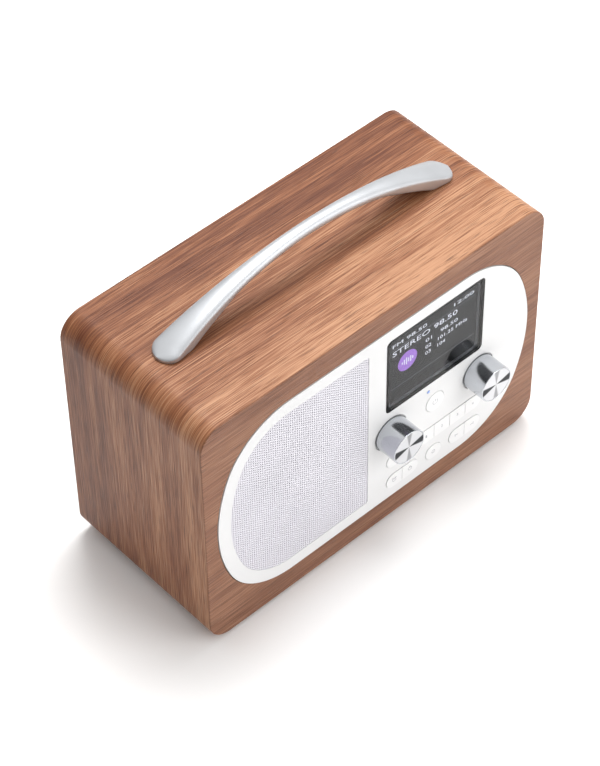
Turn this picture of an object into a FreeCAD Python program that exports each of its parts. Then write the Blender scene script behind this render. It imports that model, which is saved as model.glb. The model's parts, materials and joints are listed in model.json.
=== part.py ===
"""Tabletop radio: a wood-veneered cabinet with a moulded front, a speaker, a display and a carrying handle.

Frame: +Z up, the front faces -Y, millimetres.  The origin is the middle of the whole
object's box, on the surface that its feet stand on.
"""
import FreeCAD, Part
import math
import os
from types import SimpleNamespace

import Sketcher

DOC = FreeCAD.newDocument("TabletopRadio")
V = FreeCAD.Vector
TURN_Y = FreeCAD.Rotation(V(1, 0, 0), -90)   # turns a +Z piece to +Y
TURN_X = FreeCAD.Rotation(V(0, 1, 0), 90)    # turns a +Z piece to +X
AXIS_TURN = {"x": TURN_X, "y": TURN_Y, "z": FreeCAD.Rotation()}

# ---------------------------------------------------------------- driving sizes, in millimetres
DRIVING = {
    # cabinet
    "cab_width": 230.0, "cab_depth": 104.0, "cab_height": 157.5, "cab_corner": 13.1,
    "wall": 9.0, "veneer": 0.6, "edge_lip": 1.0, "board_depth": 9.0,
    "back_rim": 3.0, "back_recess": 2.0, "panel_thick": 3.0, "panel_fit": 0.3,
    "foot_rise": 2.5, "foot_radius": 6.0, "foot_inset": 16.0,
    # front moulding and its seat in the board
    "side_lap": 1.0, "end_margin": 15.25, "oval_corner": 44.0, "oval_end": 95.0,
    "oval_gap": 0.4, "face_proud": 0.3, "plate_thick": 3.0, "seat_depth": 4.7,
    "seat_ledge": 6.5, "skirt_wide": 2.5,
    # grille
    "grille_margin": 8.0, "grille_sink": 0.15, "grille_thick": 0.7, "cloth_thick": 0.4,
    "grille_fit": 0.1, "grille_to_display": 12.0, "grille_corner": 1.5,
    # display
    "control_inset": 66.8, "display_shift": 0.9, "display_wide": 68.2, "display_high": 52.7,
    "display_drop": 7.55, "display_corner": 3.0, "window_thick": 1.5, "window_fit": 0.1,
    "window_ledge": 2.5, "module_depth": 4.5, "module_lap": 1.4,
    # knobs and encoders
    "knob_radius": 10.5, "knob_stand": 13.7, "knob_spacing": 62.5, "knob_rise": 50.75,
    "knob_sink": 0.3, "knob_well": 0.7, "well_depth": 1.2, "knob_chamfer": 0.4,
    "shaft_radius": 3.0, "shaft_fit": 0.05, "shaft_reach": 10.0, "shaft_flat": 1.5,
    "bush_radius": 3.6, "bush_front": 1.2, "encoder_wide": 12.0, "encoder_depth": 6.0,
    "plunger_radius": 2.5, "plunger_length": 1.5,
    # keys
    "key_pitch": 11.35, "key_high": 9.8, "key_proud": 0.4, "key_depth": 4.0, "key_gap": 0.3,
    "key_fit": 0.2, "key_flange": 0.8, "key_travel": 0.5, "row_one_rise": 27.75,
    "row_two_rise": 11.65, "standby_radius": 6.4, "stem_radius": 1.5, "switch_gap": 0.1,
    "switch_wide": 4.5, "switch_high": 3.5,
    "led_radius": 1.0, "led_shift": 4.9, "led_rise": 10.7, "led_fit": 0.1,
    "pcb_thick": 1.6, "board_stand": 7.5,
    # speaker
    "speaker_radius": 43.0, "speaker_rim": 5.5, "ring_height": 5.0, "ring_wide": 6.0,
    "basket_depth": 18.0, "surround_wide": 5.5, "cone_rise": 8.4, "coil_radius": 10.0,
    "magnet_radius": 25.0, "magnet_thick": 9.0, "plate_iron": 4.0,
    # small fasteners
    "screw_radius": 1.0, "screw_length": 7.0, "screw_head": 2.1, "screw_head_high": 1.6,
    "screw_inset": 3.5, "screw_span": 40.0, "boss_radius": 2.4, "thread_fit": 0.03,
    "wood_screw": 1.25, "wood_screw_length": 9.0, "wood_screw_head": 2.6,
    # back
    "bay_wide": 80.0, "bay_high": 60.0, "bay_deep": 28.0, "bay_wall": 3.0, "door_lap": 1.8,
    "door_fit": 0.3, "door_thick": 2.6, "pack_gap": 3.0, "bay_side": 34.0, "bay_rise": 55.0,
    "main_wide": 84.0, "main_high": 66.0, "main_stand": 14.0, "main_side": 14.0,
    "main_rise": 22.0, "post_radius": 3.0, "jack_rise": 12.0,
    # antenna
    "antenna_proud": 9.5, "mast_side": 92.0, "mast_drop": 20.0, "tube_radius": 2.5,
    "tube_wall": 0.35, "tube_fit": 0.05, "tube_length": 138.0, "pivot_radius": 4.0,
    "tongue_thick": 2.4, "fork_gap": 0.1, "pin_radius": 1.0, "stud_radius": 3.0,
    # handle
    "handle_half": 97.0, "handle_rise": 26.0, "handle_thick": 6.2, "handle_tip": 2.0,
    "handle_land": 80.0, "handle_foot": 17.0, "handle_waist": 7.4,
    "handle_screw": 2.0, "handle_screw_at": 86.0, "handle_screw_length": 13.0,
    "handle_screw_head": 3.6, "handle_screw_head_high": 2.4,
}

SHEET = DOC.addObject("Spreadsheet::Sheet", "Sizes")
for row, (alias, number) in enumerate(DRIVING.items(), start=1):
    SHEET.set(f"A{row}", alias)
    SHEET.set(f"B{row}", str(number))
    SHEET.setAlias(f"B{row}", alias)
DOC.recompute()


class Size:
    """A length that knows both its number and the sheet formula that gives it."""

    def __init__(self, number, formula):
        self.number = float(number)
        self.formula = formula

    @staticmethod
    def of(value):
        """Return value as a Size."""
        return value if isinstance(value, Size) else Size(value, repr(float(value)))

    def _join(self, other, sign, number):
        return Size(number, f"({self.formula} {sign} {other.formula})")

    def __add__(self, other):
        other = Size.of(other)
        return self._join(other, "+", self.number + other.number)

    def __sub__(self, other):
        other = Size.of(other)
        return self._join(other, "-", self.number - other.number)

    def __mul__(self, other):
        other = Size.of(other)
        return self._join(other, "*", self.number * other.number)

    def __truediv__(self, other):
        other = Size.of(other)
        return self._join(other, "/", self.number / other.number)

    def __radd__(self, other):
        return Size.of(other) + self

    def __rsub__(self, other):
        return Size.of(other) - self

    def __rmul__(self, other):
        return Size.of(other) * self

    def __neg__(self):
        return Size.of(0) - self

    def __float__(self):
        return self.number


s = SimpleNamespace(**{alias: Size(SHEET.get(alias), f"Sizes.{alias}") for alias in DRIVING})

# ---------------------------------------------------------------- places worked out from the sizes
front_y = (s.face_proud + s.knob_stand - s.cab_depth - s.antenna_proud) / 2
back_y = front_y + s.cab_depth
face_y = front_y - s.face_proud
base_z = s.foot_rise
top_z = base_z + s.cab_height
mid_z = base_z + s.cab_height / 2
oval_half_x = s.cab_width / 2 - s.wall + s.side_lap
oval_half_z = s.cab_height / 2 - s.end_margin
oval_low_z = mid_z - oval_half_z
board_y = front_y + s.veneer
board_back_y = board_y + s.board_depth
control_x = oval_half_x - s.control_inset
display_x = control_x - s.display_shift
display_z = mid_z + oval_half_z - s.display_drop - s.display_high / 2
grille_edge_x = display_x - s.display_wide / 2 - s.grille_to_display
knob_z = oval_low_z + s.knob_rise
led_x = control_x - s.led_shift
led_z = knob_z + s.led_rise
row_z = {1: oval_low_z + s.row_one_rise, 2: oval_low_z + s.row_two_rise}
column_x = control_x - 3 * s.key_pitch
grille_depth = s.grille_sink + s.grille_thick + s.cloth_thick
plate_back_y = face_y + s.plate_thick
pcb_y = plate_back_y + s.board_stand
speaker_x = (grille_edge_x - oval_half_x + s.grille_margin) / 2
speaker_z = mid_z
speaker_y = plate_back_y + s.ring_height
speaker_hole = s.speaker_radius - s.speaker_rim
cone_radius = speaker_hole - s.surround_wide
panel_y = back_y - s.back_recess - s.panel_thick
panel_out_y = back_y - s.back_recess
bay_x = -s.bay_side
bay_z = base_z + s.bay_rise
main_y = panel_y - s.main_stand
main_x = s.main_side + s.main_wide / 2
main_z = base_z + s.main_rise + s.main_high / 2
jack_z = base_z + s.main_rise + s.jack_rise
mast_y = back_y + s.antenna_proud - s.pivot_radius
mast_z = top_z - s.mast_drop

# keys: name, row, first column, last column, round left end, round right end
KEYS = (
    ("menu_key", 1, 0.0, 1.5, True, True),
    ("preset_key_1", 1, 2.0, 3.0, True, False),
    ("preset_key_2", 1, 3.0, 4.0, False, False),
    ("preset_key_3", 1, 4.0, 5.0, False, False),
    ("preset_key_4", 1, 5.0, 6.0, False, True),
    ("alarm_key", 2, 0.0, 1.0, True, False),
    ("timer_key", 2, 1.0, 2.0, False, True),
    ("enter_key", 2, 2.5, 3.5, True, True),
    ("previous_key", 2, 4.0, 5.0, True, False),
    ("next_key", 2, 5.0, 6.0, False, True),
)
# openings in the front moulding for each run of keys: row, first column, last column
KEY_RUNS = ((1, 0.0, 1.5), (1, 2.0, 6.0), (2, 0.0, 2.0), (2, 2.5, 3.5), (2, 4.0, 6.0))

# the middle of each socket on the back, measured along the main board
DC_AT, PHONES_AT, AUX_AT, USB_AT = 66.0, 50.0, 36.0, 20.0


# ---------------------------------------------------------------- building blocks
def link(item, prop, value):
    """Bind a property to the sheet formula of a size, or set a plain number."""
    if isinstance(value, Size):
        item.setExpression(prop, value.formula)
    else:
        setattr(item, prop, value)


def place(item, x, y, z, turn=None):
    """Put an object at x, y, z, with each of them bound to its formula."""
    spots = [Size.of(x), Size.of(y), Size.of(z)]
    item.Placement = FreeCAD.Placement(V(*[float(spot) for spot in spots]), turn or FreeCAD.Rotation())
    for axis, spot in zip("xyz", spots):
        item.setExpression(f".Placement.Base.{axis}", spot.formula)
    return item


def box(label, x, y, z, wide, deep, high):
    """A box from its low corner and its sizes along X, Y and Z."""
    item = DOC.addObject("Part::Box", label)
    link(item, "Length", Size.of(wide))
    link(item, "Width", Size.of(deep))
    link(item, "Height", Size.of(high))
    return place(item, x, y, z)


def rod(label, axis, x, y, z, radius, length):
    """A cylinder that starts at x, y, z and runs along an axis."""
    item = DOC.addObject("Part::Cylinder", label)
    link(item, "Radius", Size.of(radius))
    link(item, "Height", Size.of(length))
    return place(item, x, y, z, AXIS_TURN[axis])


def fuse(label, *parts):
    """Join pieces into one."""
    item = DOC.addObject("Part::MultiFuse", label)
    item.Shapes = list(parts)
    item.Refine = True
    return item


def cut(label, base, *tools):
    """Take the tools away from the base."""
    tool = tools[0] if len(tools) == 1 else fuse(label + "_tools", *tools)
    item = DOC.addObject("Part::Cut", label)
    item.Base = base
    item.Tool = tool
    item.Refine = True
    return item


def group(label, parts):
    """Separate solids that share one node."""
    item = DOC.addObject("Part::Compound", label)
    item.Links = list(parts)
    return item


def round_edges(label, base, radius, wanted):
    """Fillet the edges that the test picks."""
    DOC.recompute()
    picked = [number for number, edge in enumerate(base.Shape.Edges, start=1) if wanted(edge)]
    item = DOC.addObject("Part::Fillet", label)
    item.Base = base
    item.Edges = [(number, float(radius), float(radius)) for number in picked]
    return item


def new_sketch(body, name, plane):
    """A sketch on one of the body's own origin planes."""
    sketch = body.newObject("Sketcher::SketchObject", name)
    origin = next(item for item in body.Origin.OriginFeatures if item.Role == plane)
    sketch.AttachmentSupport = [(origin, "")]
    sketch.MapMode = "FlatFace"
    return sketch


def bind_new(sketch, value, *arguments):
    """Add a constraint with a number and bind it to its formula."""
    value = Size.of(value)
    index = sketch.addConstraint(Sketcher.Constraint(*arguments, float(value)))
    sketch.setExpression(f"Constraints[{index}]", value.formula)


def bind_point(sketch, geo, pos, x, y):
    """Fix a point of a sketch at x, y from the origin."""
    for kind, other, value in (("DistanceX", -2, Size.of(x)), ("DistanceY", -1, Size.of(y))):
        if abs(float(value)) < 1e-9:
            sketch.addConstraint(Sketcher.Constraint("PointOnObject", geo, pos, other))
        elif float(value) > 0:
            bind_new(sketch, value, kind, -1, 1, geo, pos)
        else:
            bind_new(sketch, -value, kind, geo, pos, -1, 1)


def arc(centre, radius, start, end):
    """An arc of a circle, its angles in degrees."""
    circle = Part.Circle(V(float(centre[0]), float(centre[1]), 0), V(0, 0, 1), float(radius))
    return Part.ArcOfCircle(circle, math.radians(start), math.radians(end))


def line(start, end):
    """A straight edge between two points of a sketch."""
    return Part.LineSegment(V(float(start[0]), float(start[1]), 0), V(float(end[0]), float(end[1]), 0))


def pad(body, sketch, depth):
    """Pad a sketch on the XZ plane towards +Y."""
    feature = body.newObject("PartDesign::Pad", "Pad")
    feature.Profile = sketch
    feature.Reversed = True
    link(feature, "Length", Size.of(depth))
    sketch.Visibility = False
    return feature


def slab(label, x, z, wide, high, y, deep, left, right=None):
    """A plate in the XZ plane with rounded corners: the left pair and the right pair."""
    right = left if right is None else right
    half_x, half_z, left, right = Size.of(wide) / 2, Size.of(high) / 2, Size.of(left), Size.of(right)
    px, pz, rl, rr = float(half_x), float(half_z), float(left), float(right)
    body = DOC.addObject("PartDesign::Body", label)
    sketch = new_sketch(body, "Outline", "XZ_Plane")
    sketch.addGeometry([
        line((-px + rl, pz), (px - rr, pz)),
        line((px, pz - rr), (px, -pz + rr)),
        line((px - rr, -pz), (-px + rl, -pz)),
        line((-px, -pz + rl), (-px, pz - rl)),
        arc((px - rr, pz - rr), rr, 0, 90),
        arc((px - rr, -pz + rr), rr, 270, 360),
        arc((-px + rl, -pz + rl), rl, 180, 270),
        arc((-px + rl, pz - rl), rl, 90, 180),
    ])
    joins = ((0, 2, 4, 2), (4, 1, 1, 1), (1, 2, 5, 2), (5, 1, 2, 1),
             (2, 2, 6, 2), (6, 1, 3, 1), (3, 2, 7, 2), (7, 1, 0, 1))
    sketch.addConstraint([Sketcher.Constraint("Tangent", *join) for join in joins])
    sketch.addConstraint([
        Sketcher.Constraint("Horizontal", 0), Sketcher.Constraint("Horizontal", 2),
        Sketcher.Constraint("Vertical", 1), Sketcher.Constraint("Vertical", 3),
        Sketcher.Constraint("Equal", 4, 5), Sketcher.Constraint("Equal", 6, 7),
    ])
    bind_new(sketch, right, "Radius", 4)
    bind_new(sketch, left, "Radius", 6)
    bind_new(sketch, half_x, "DistanceX", -1, 1, 1, 1)
    bind_new(sketch, half_x, "DistanceX", 3, 1, -1, 1)
    bind_new(sketch, half_z, "DistanceY", -1, 1, 0, 1)
    bind_new(sketch, half_z, "DistanceY", 2, 1, -1, 1)
    pad(body, sketch, deep)
    return place(body, x, y, z)


def case_slab(label, inset, y, deep):
    """A plate with the cabinet's outline, moved in by inset."""
    return slab(label, 0, mid_z, s.cab_width - 2 * inset, s.cab_height - 2 * inset, y, deep,
                s.cab_corner - inset)


def oval(label, inset, y, deep):
    """A plate with the front moulding's outline, moved in by inset.

    The outline has flat top and bottom edges, four corner arcs and two wide end arcs.
    """
    half_z = oval_half_z - inset
    corner, end = s.oval_corner - inset, s.oval_end - inset
    end_x = oval_half_x - s.oval_end
    corner_z = oval_half_z - s.oval_corner
    reach = s.oval_end - s.oval_corner
    corner_x = float(end_x) + math.sqrt(float(reach) ** 2 - float(corner_z) ** 2)
    lean = math.degrees(math.atan2(float(corner_z), corner_x - float(end_x)))
    flat, cz, ex = float(half_z), float(corner_z), float(end_x)
    body = DOC.addObject("PartDesign::Body", label)
    sketch = new_sketch(body, "Outline", "XZ_Plane")
    sketch.addGeometry([
        line((-corner_x, flat), (corner_x, flat)),
        arc((corner_x, cz), corner, lean, 90),
        arc((ex, 0), end, -lean, lean),
        arc((corner_x, -cz), corner, 270, 360 - lean),
        line((corner_x, -flat), (-corner_x, -flat)),
        arc((-corner_x, -cz), corner, 180 + lean, 270),
        arc((-ex, 0), end, 180 - lean, 180 + lean),
        arc((-corner_x, cz), corner, 90, 180 - lean),
    ])
    joins = ((0, 2, 1, 2), (1, 1, 2, 2), (2, 1, 3, 2), (3, 1, 4, 1),
             (4, 2, 5, 2), (5, 1, 6, 2), (6, 1, 7, 2), (7, 1, 0, 1))
    sketch.addConstraint([Sketcher.Constraint("Tangent", *join) for join in joins])
    sketch.addConstraint([
        Sketcher.Constraint("Horizontal", 0), Sketcher.Constraint("Horizontal", 4),
        Sketcher.Constraint("Equal", 1, 3), Sketcher.Constraint("Equal", 1, 5),
        Sketcher.Constraint("Equal", 1, 7), Sketcher.Constraint("Equal", 2, 6),
        Sketcher.Constraint("PointOnObject", 2, 3, -1), Sketcher.Constraint("PointOnObject", 6, 3, -1),
    ])
    bind_new(sketch, corner, "Radius", 1)
    bind_new(sketch, end, "Radius", 2)
    bind_new(sketch, end_x, "DistanceX", -1, 1, 2, 3)
    bind_new(sketch, end_x, "DistanceX", 6, 3, -1, 1)
    bind_new(sketch, half_z, "DistanceY", -1, 1, 0, 1)
    bind_new(sketch, half_z, "DistanceY", 4, 1, -1, 1)
    pad(body, sketch, deep)
    return place(body, 0, y, mid_z)


def grille_slab(label, inset, y, deep):
    """A D-shaped plate: the left part of the oval, up to the grille's straight edge."""
    room = oval_half_x * 2
    whole = oval(label + "_oval", s.grille_margin + inset, y, deep)
    beyond = box(label + "_beyond", grille_edge_x - inset, y - 1, mid_z - room, room, deep + 2, room * 2)
    shape = cut(label + "_sharp", whole, beyond)
    edge_x = float(grille_edge_x - inset)

    def straight_corner(edge):
        at_edge = all(abs(vertex.Point.x - edge_x) < 1e-4 for vertex in edge.Vertexes)
        return at_edge and len(edge.Vertexes) == 2 and abs(edge.tangentAt(edge.FirstParameter).y) > 0.99

    return round_edges(label, shape, s.grille_corner, straight_corner)


def turned(label, x, y, z, points, axis="y"):
    """A body turned about an axis through x, y, z from its outline, given as (radius, along) points."""
    body = DOC.addObject("PartDesign::Body", label)
    sketch = new_sketch(body, "Profile", "XY_Plane")
    spots = [(float(Size.of(radius)), float(Size.of(along))) for radius, along in points]
    count = len(points)
    sketch.addGeometry([line(spots[index], spots[(index + 1) % count]) for index in range(count)])
    sketch.addConstraint([Sketcher.Constraint("Coincident", index, 2, (index + 1) % count, 1)
                          for index in range(count)])
    for index, (radius, along) in enumerate(points):
        bind_point(sketch, index, 1, radius, along)
    turn = body.newObject("PartDesign::Revolution", "Turn")
    turn.Profile = sketch
    turn.ReferenceAxis = (sketch, ["V_Axis"])
    turn.Angle = 360
    sketch.Visibility = False
    spins = {"y": None, "z": FreeCAD.Rotation(V(1, 0, 0), 90), "x": FreeCAD.Rotation(V(0, 0, 1), -90)}
    return place(body, x, y, z, spins[axis])


def screw(label, x, y, z, toward, radius, length, head, head_high):
    """A pan-head screw along Y: the head's seat at y, the shank running toward +1 or -1."""
    if toward > 0:
        shank = rod(label + "_shank", "y", x, y, z, radius, length)
        cap = rod(label + "_head", "y", x, y - head_high, z, head, head_high)
    else:
        shank = rod(label + "_shank", "y", x, y - length, z, radius, length)
        cap = rod(label + "_head", "y", x, y, z, head, head_high)
    return fuse(label, shank, cap)


# ---------------------------------------------------------------- places of the fasteners
fascia_screw_spots = [
    (sign_x * s.screw_span, mid_z + sign_z * (oval_half_z - s.screw_inset))
    for sign_x in (-1, 1) for sign_z in (-1, 1)
] + [(sign_x * (oval_half_x - s.screw_inset), mid_z) for sign_x in (-1, 1)]
speaker_screw_reach = (s.speaker_radius - 3) * math.sqrt(0.5)
speaker_screw_spots = [
    (speaker_x + sign_x * speaker_screw_reach, speaker_z + sign_z * speaker_screw_reach)
    for sign_x in (-1, 1) for sign_z in (-1, 1)
]
control_screw_spots = [
    (control_x - 0.75 * s.key_pitch, row_z[2]), (control_x + 0.75 * s.key_pitch, row_z[2]),
    (control_x - 1.55 * s.key_pitch, knob_z), (control_x + 1.55 * s.key_pitch, knob_z),
]
main_screw_spots = [
    (main_x + sign_x * (s.main_wide / 2 - 4), main_z + sign_z * (s.main_high / 2 - 4))
    for sign_x in (-1, 1) for sign_z in (-1, 1)
]
rim_reach = (s.back_rim + s.wall) / 2 + 0.2
back_screw_spots = [
    (sign_x * (s.cab_width / 2 - rim_reach), mid_z + sign_z * s.cab_height * 0.3)
    for sign_x in (-1, 1) for sign_z in (-1, 1)
] + [
    (sign_x * s.cab_width * 0.3, mid_z + sign_z * (s.cab_height / 2 - rim_reach))
    for sign_x in (-1, 1) for sign_z in (-1, 1)
]


# ---------------------------------------------------------------- cabinet
def build_cabinet():
    """The wood sleeve, the front board, its face veneer and the rubber feet."""
    sleeve = case_slab("sleeve_block", 0, board_y, s.cab_depth - s.veneer)
    hollow = case_slab("sleeve_hollow", s.wall, board_y - 1, s.cab_depth + 2)
    pocket = case_slab("sleeve_pocket", s.edge_lip, board_y - 1, s.board_depth + 1)
    rebate = case_slab("sleeve_rebate", s.back_rim, panel_y, s.cab_depth)
    holes = [rod(f"handle_hole_{side}", "z", side * s.handle_screw_at, (front_y + back_y) / 2,
                 top_z - s.wall - 1, s.handle_screw + 0.1, s.wall + 2) for side in (-1, 1)]
    pilots = [rod(f"back_pilot_{number}", "y", x, panel_y - s.wood_screw_length + s.panel_thick - 0.5, z,
                  s.wood_screw + s.thread_fit, s.wood_screw_length) for number, (x, z)
              in enumerate(back_screw_spots)]
    nodes = [cut("cabinet_wrap", sleeve, hollow, pocket, rebate, *holes, *pilots)]

    board = case_slab("board_block", s.edge_lip, board_y, s.board_depth)
    seat = oval("board_seat", -s.oval_gap, board_y - 1, s.seat_depth - s.veneer + 1)
    through = oval("board_opening", s.seat_ledge, board_y - 1, s.board_depth + 2)
    passes = [rod(f"board_hole_{number}", "y", x, board_y, z, s.screw_radius + 0.2, s.board_depth + 1)
              for number, (x, z) in enumerate(fascia_screw_spots)]
    nodes.append(cut("front_board", board, seat, through, *passes))

    sheet = case_slab("veneer_sheet", 0, front_y, s.veneer)
    window = oval("veneer_opening", -s.oval_gap, front_y - 1, s.veneer + 2)
    nodes.append(cut("front_veneer", sheet, window))

    feet = []
    for side in (-1, 1):
        for near, y in (("front", front_y + s.foot_inset), ("back", back_y - s.foot_inset)):
            spot_x = side * (s.cab_width / 2 - s.foot_inset)
            feet.append(turned(f"foot_{near}_{side}", spot_x, y, 0, [
                (0, 0), (s.foot_radius - 0.6, 0), (s.foot_radius, 0.6),
                (s.foot_radius, s.foot_rise), (0, s.foot_rise)], axis="z"))
    nodes.append(group("rubber_feet", feet))
    return nodes


# ---------------------------------------------------------------- front moulding
def key_run_slab(label, row, first, last, extra, y, deep):
    """A pill in a row of keys, from one column to another."""
    wide = (last - first) * s.key_pitch - s.key_gap + 2 * extra
    middle = column_x + (first + last) / 2 * s.key_pitch
    return slab(label, middle, row_z[row], wide, s.key_high + 2 * extra, y, deep,
                s.key_high / 2 - 0.1 + extra)


def build_fascia():
    """The moulded front, its grille, cloth, display window and light pipe."""
    plate = oval("fascia_plate", 0, face_y, s.plate_thick)
    skirt_out = oval("fascia_skirt_out", 0, plate_back_y, s.seat_depth + s.face_proud - s.plate_thick)
    skirt_in = oval("fascia_skirt_in", s.skirt_wide, plate_back_y, s.seat_depth)
    skirt = cut("fascia_skirt", skirt_out, skirt_in)
    boss_high = s.seat_depth + s.face_proud - s.plate_thick
    bosses = [rod(f"fascia_boss_{number}", "y", x, plate_back_y, z, s.boss_radius, boss_high)
              for number, (x, z) in enumerate(fascia_screw_spots)]
    posts = [rod(f"control_post_{number}", "y", x, plate_back_y, z, s.boss_radius, s.board_stand)
             for number, (x, z) in enumerate(control_screw_spots)]
    ring = rod("speaker_ring", "y", speaker_x, plate_back_y, speaker_z,
               speaker_hole + s.ring_wide, s.ring_height)
    solid = fuse("fascia_solid", plate, skirt, ring, *bosses, *posts)

    tools = [grille_slab("grille_seat", 0, face_y - 1, grille_depth + 1)]
    tools.append(rod("speaker_opening", "y", speaker_x, face_y, speaker_z, speaker_hole,
                     s.plate_thick + s.ring_height + 1))
    tools.append(slab("window_seat", display_x, display_z, s.display_wide, s.display_high,
                      face_y - 1, s.window_thick + 1, s.display_corner))
    tools.append(slab("window_opening", display_x, display_z, s.display_wide - 2 * s.window_ledge,
                      s.display_high - 2 * s.window_ledge, face_y, s.plate_thick + 1, s.display_corner))
    for side in (-1, 1):
        knob_x = control_x + side * s.knob_spacing / 2
        tools.append(rod(f"knob_well_{side}", "y", knob_x, face_y - 1, knob_z,
                         s.knob_radius + s.knob_well, s.well_depth + 1))
        tools.append(rod(f"bush_hole_{side}", "y", knob_x, face_y, knob_z,
                         s.bush_radius + 0.2, s.plate_thick + 1))
    for number, (row, first, last) in enumerate(KEY_RUNS):
        tools.append(key_run_slab(f"key_opening_{number}", row, first, last, s.key_fit,
                                  face_y - 1, s.plate_thick + 2))
    tools.append(rod("standby_opening", "y", control_x, face_y - 1, knob_z,
                     s.standby_radius + s.key_fit, s.plate_thick + 2))
    tools.append(rod("led_opening", "y", led_x, face_y - 1, led_z, s.led_radius + s.led_fit,
                     s.plate_thick + 2))
    pilot = s.screw_radius + s.thread_fit
    screw_end = {"fascia": board_back_y - s.screw_length, "speaker": speaker_y + 1.2 - s.screw_length,
                 "control": pcb_y + s.pcb_thick - s.screw_length}
    spots = {"fascia": fascia_screw_spots, "speaker": speaker_screw_spots, "control": control_screw_spots}
    for kind, places in spots.items():
        for number, (x, z) in enumerate(places):
            tools.append(rod(f"{kind}_pilot_{number}", "y", x, screw_end[kind] - 0.3, z, pilot,
                             s.screw_length))
    nodes = [cut("fascia", solid, *tools)]

    nodes.append(grille_slab("speaker_grille", s.grille_fit, face_y + s.grille_sink, s.grille_thick))
    nodes.append(grille_slab("grille_cloth", s.grille_fit, face_y + s.grille_sink + s.grille_thick,
                             s.cloth_thick))
    nodes.append(slab("display_window", display_x, display_z, s.display_wide - 2 * s.window_fit,
                      s.display_high - 2 * s.window_fit, face_y, s.window_thick,
                      s.display_corner - s.window_fit))
    nodes.append(turned("light_pipe", led_x, face_y, led_z, [
        (0, 0), (s.led_radius, 0), (s.led_radius, s.plate_thick), (s.led_radius + 0.7, s.plate_thick),
        (s.led_radius + 0.7, s.plate_thick + 0.8), (s.led_radius, s.plate_thick + 0.8),
        (s.led_radius, s.plate_thick + s.board_stand), (0, s.plate_thick + s.board_stand)]))
    module_wide = s.display_wide - 2 * s.window_ledge + 2 * s.module_lap
    module_high = s.display_high - 2 * s.window_ledge + 2 * s.module_lap
    nodes.append(slab("display_module", display_x, display_z, module_wide, module_high, plate_back_y,
                      s.module_depth, 1.0))
    return nodes


# ---------------------------------------------------------------- controls
def build_keys():
    """One moulded cap for each key, with its retaining flange and its stem."""
    nodes = []
    depth = s.key_proud + s.key_depth
    for name, row, first, last, left_round, right_round in KEYS:
        wide = (last - first) * s.key_pitch - s.key_gap
        middle = column_x + (first + last) / 2 * s.key_pitch
        full = s.key_high / 2 - 0.1
        cap = slab(name + "_cap", middle, row_z[row], wide, s.key_high, face_y - s.key_proud, depth,
                   full if left_round else 0.5, full if right_round else 0.5)
        flange_low = middle - wide / 2 + (full if left_round else 0)
        flange_wide = wide - (full if left_round else 0) - (full if right_round else 0)
        flange = box(name + "_flange", flange_low, plate_back_y + s.switch_gap,
                     row_z[row] - s.key_high / 2 - s.key_flange, flange_wide,
                     s.key_depth - s.plate_thick - s.switch_gap, s.key_high + 2 * s.key_flange)
        stem = rod(name + "_stem", "y", middle, face_y + s.key_depth, row_z[row], s.stem_radius,
                   key_stem_length())
        nodes.append(fuse(name, cap, flange, stem))
    radius = s.standby_radius
    nodes.append(turned("standby_key", control_x, face_y, knob_z, [
        (0, -s.key_proud), (radius - 0.3, -s.key_proud), (radius, 0.3 - s.key_proud),
        (radius, s.plate_thick + s.switch_gap), (radius + s.key_flange, s.plate_thick + s.switch_gap),
        (radius + s.key_flange, s.key_depth), (s.stem_radius, s.key_depth),
        (s.stem_radius, s.key_depth + key_stem_length()), (0, s.key_depth + key_stem_length())]))
    return nodes


def key_stem_length():
    """The stem reaches towards its switch and stops short of it by the key's travel."""
    return (s.plate_thick + s.board_stand - s.switch_high) - s.key_depth - s.key_travel - s.switch_gap


def build_control_board():
    """The board behind the front, with a switch for each key and an encoder for each knob."""
    low = row_z[2] - s.switch_wide / 2 - 1
    high = display_z - s.display_high / 2 + 1
    wide = 6 * s.key_pitch + 4
    board = slab("control_sheet", control_x, (low + high) / 2, wide, high - low, pcb_y, s.pcb_thick, 1.5)
    holes = [rod(f"control_hole_{number}", "y", x, pcb_y - 1, z, s.screw_radius + 0.2, s.pcb_thick + 2)
             for number, (x, z) in enumerate(control_screw_spots)]
    nodes = [cut("control_board", board, *holes)]
    spots = [(column_x + (first + last) / 2 * s.key_pitch, row_z[row])
             for _, row, first, last, _, _ in KEYS]
    spots.append((control_x, knob_z))
    switches = []
    for number, (x, z) in enumerate(spots):
        body = box(f"switch_body_{number}", x - s.switch_wide / 2, pcb_y - s.switch_high + 1,
                   z - s.switch_wide / 2, s.switch_wide, s.switch_high - 1, s.switch_wide)
        button = rod(f"switch_top_{number}", "y", x, pcb_y - s.switch_high, z, s.stem_radius, 1)
        switches.append(fuse(f"switch_{number}", body, button))
    nodes.append(group("key_switches", switches))
    return nodes


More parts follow.
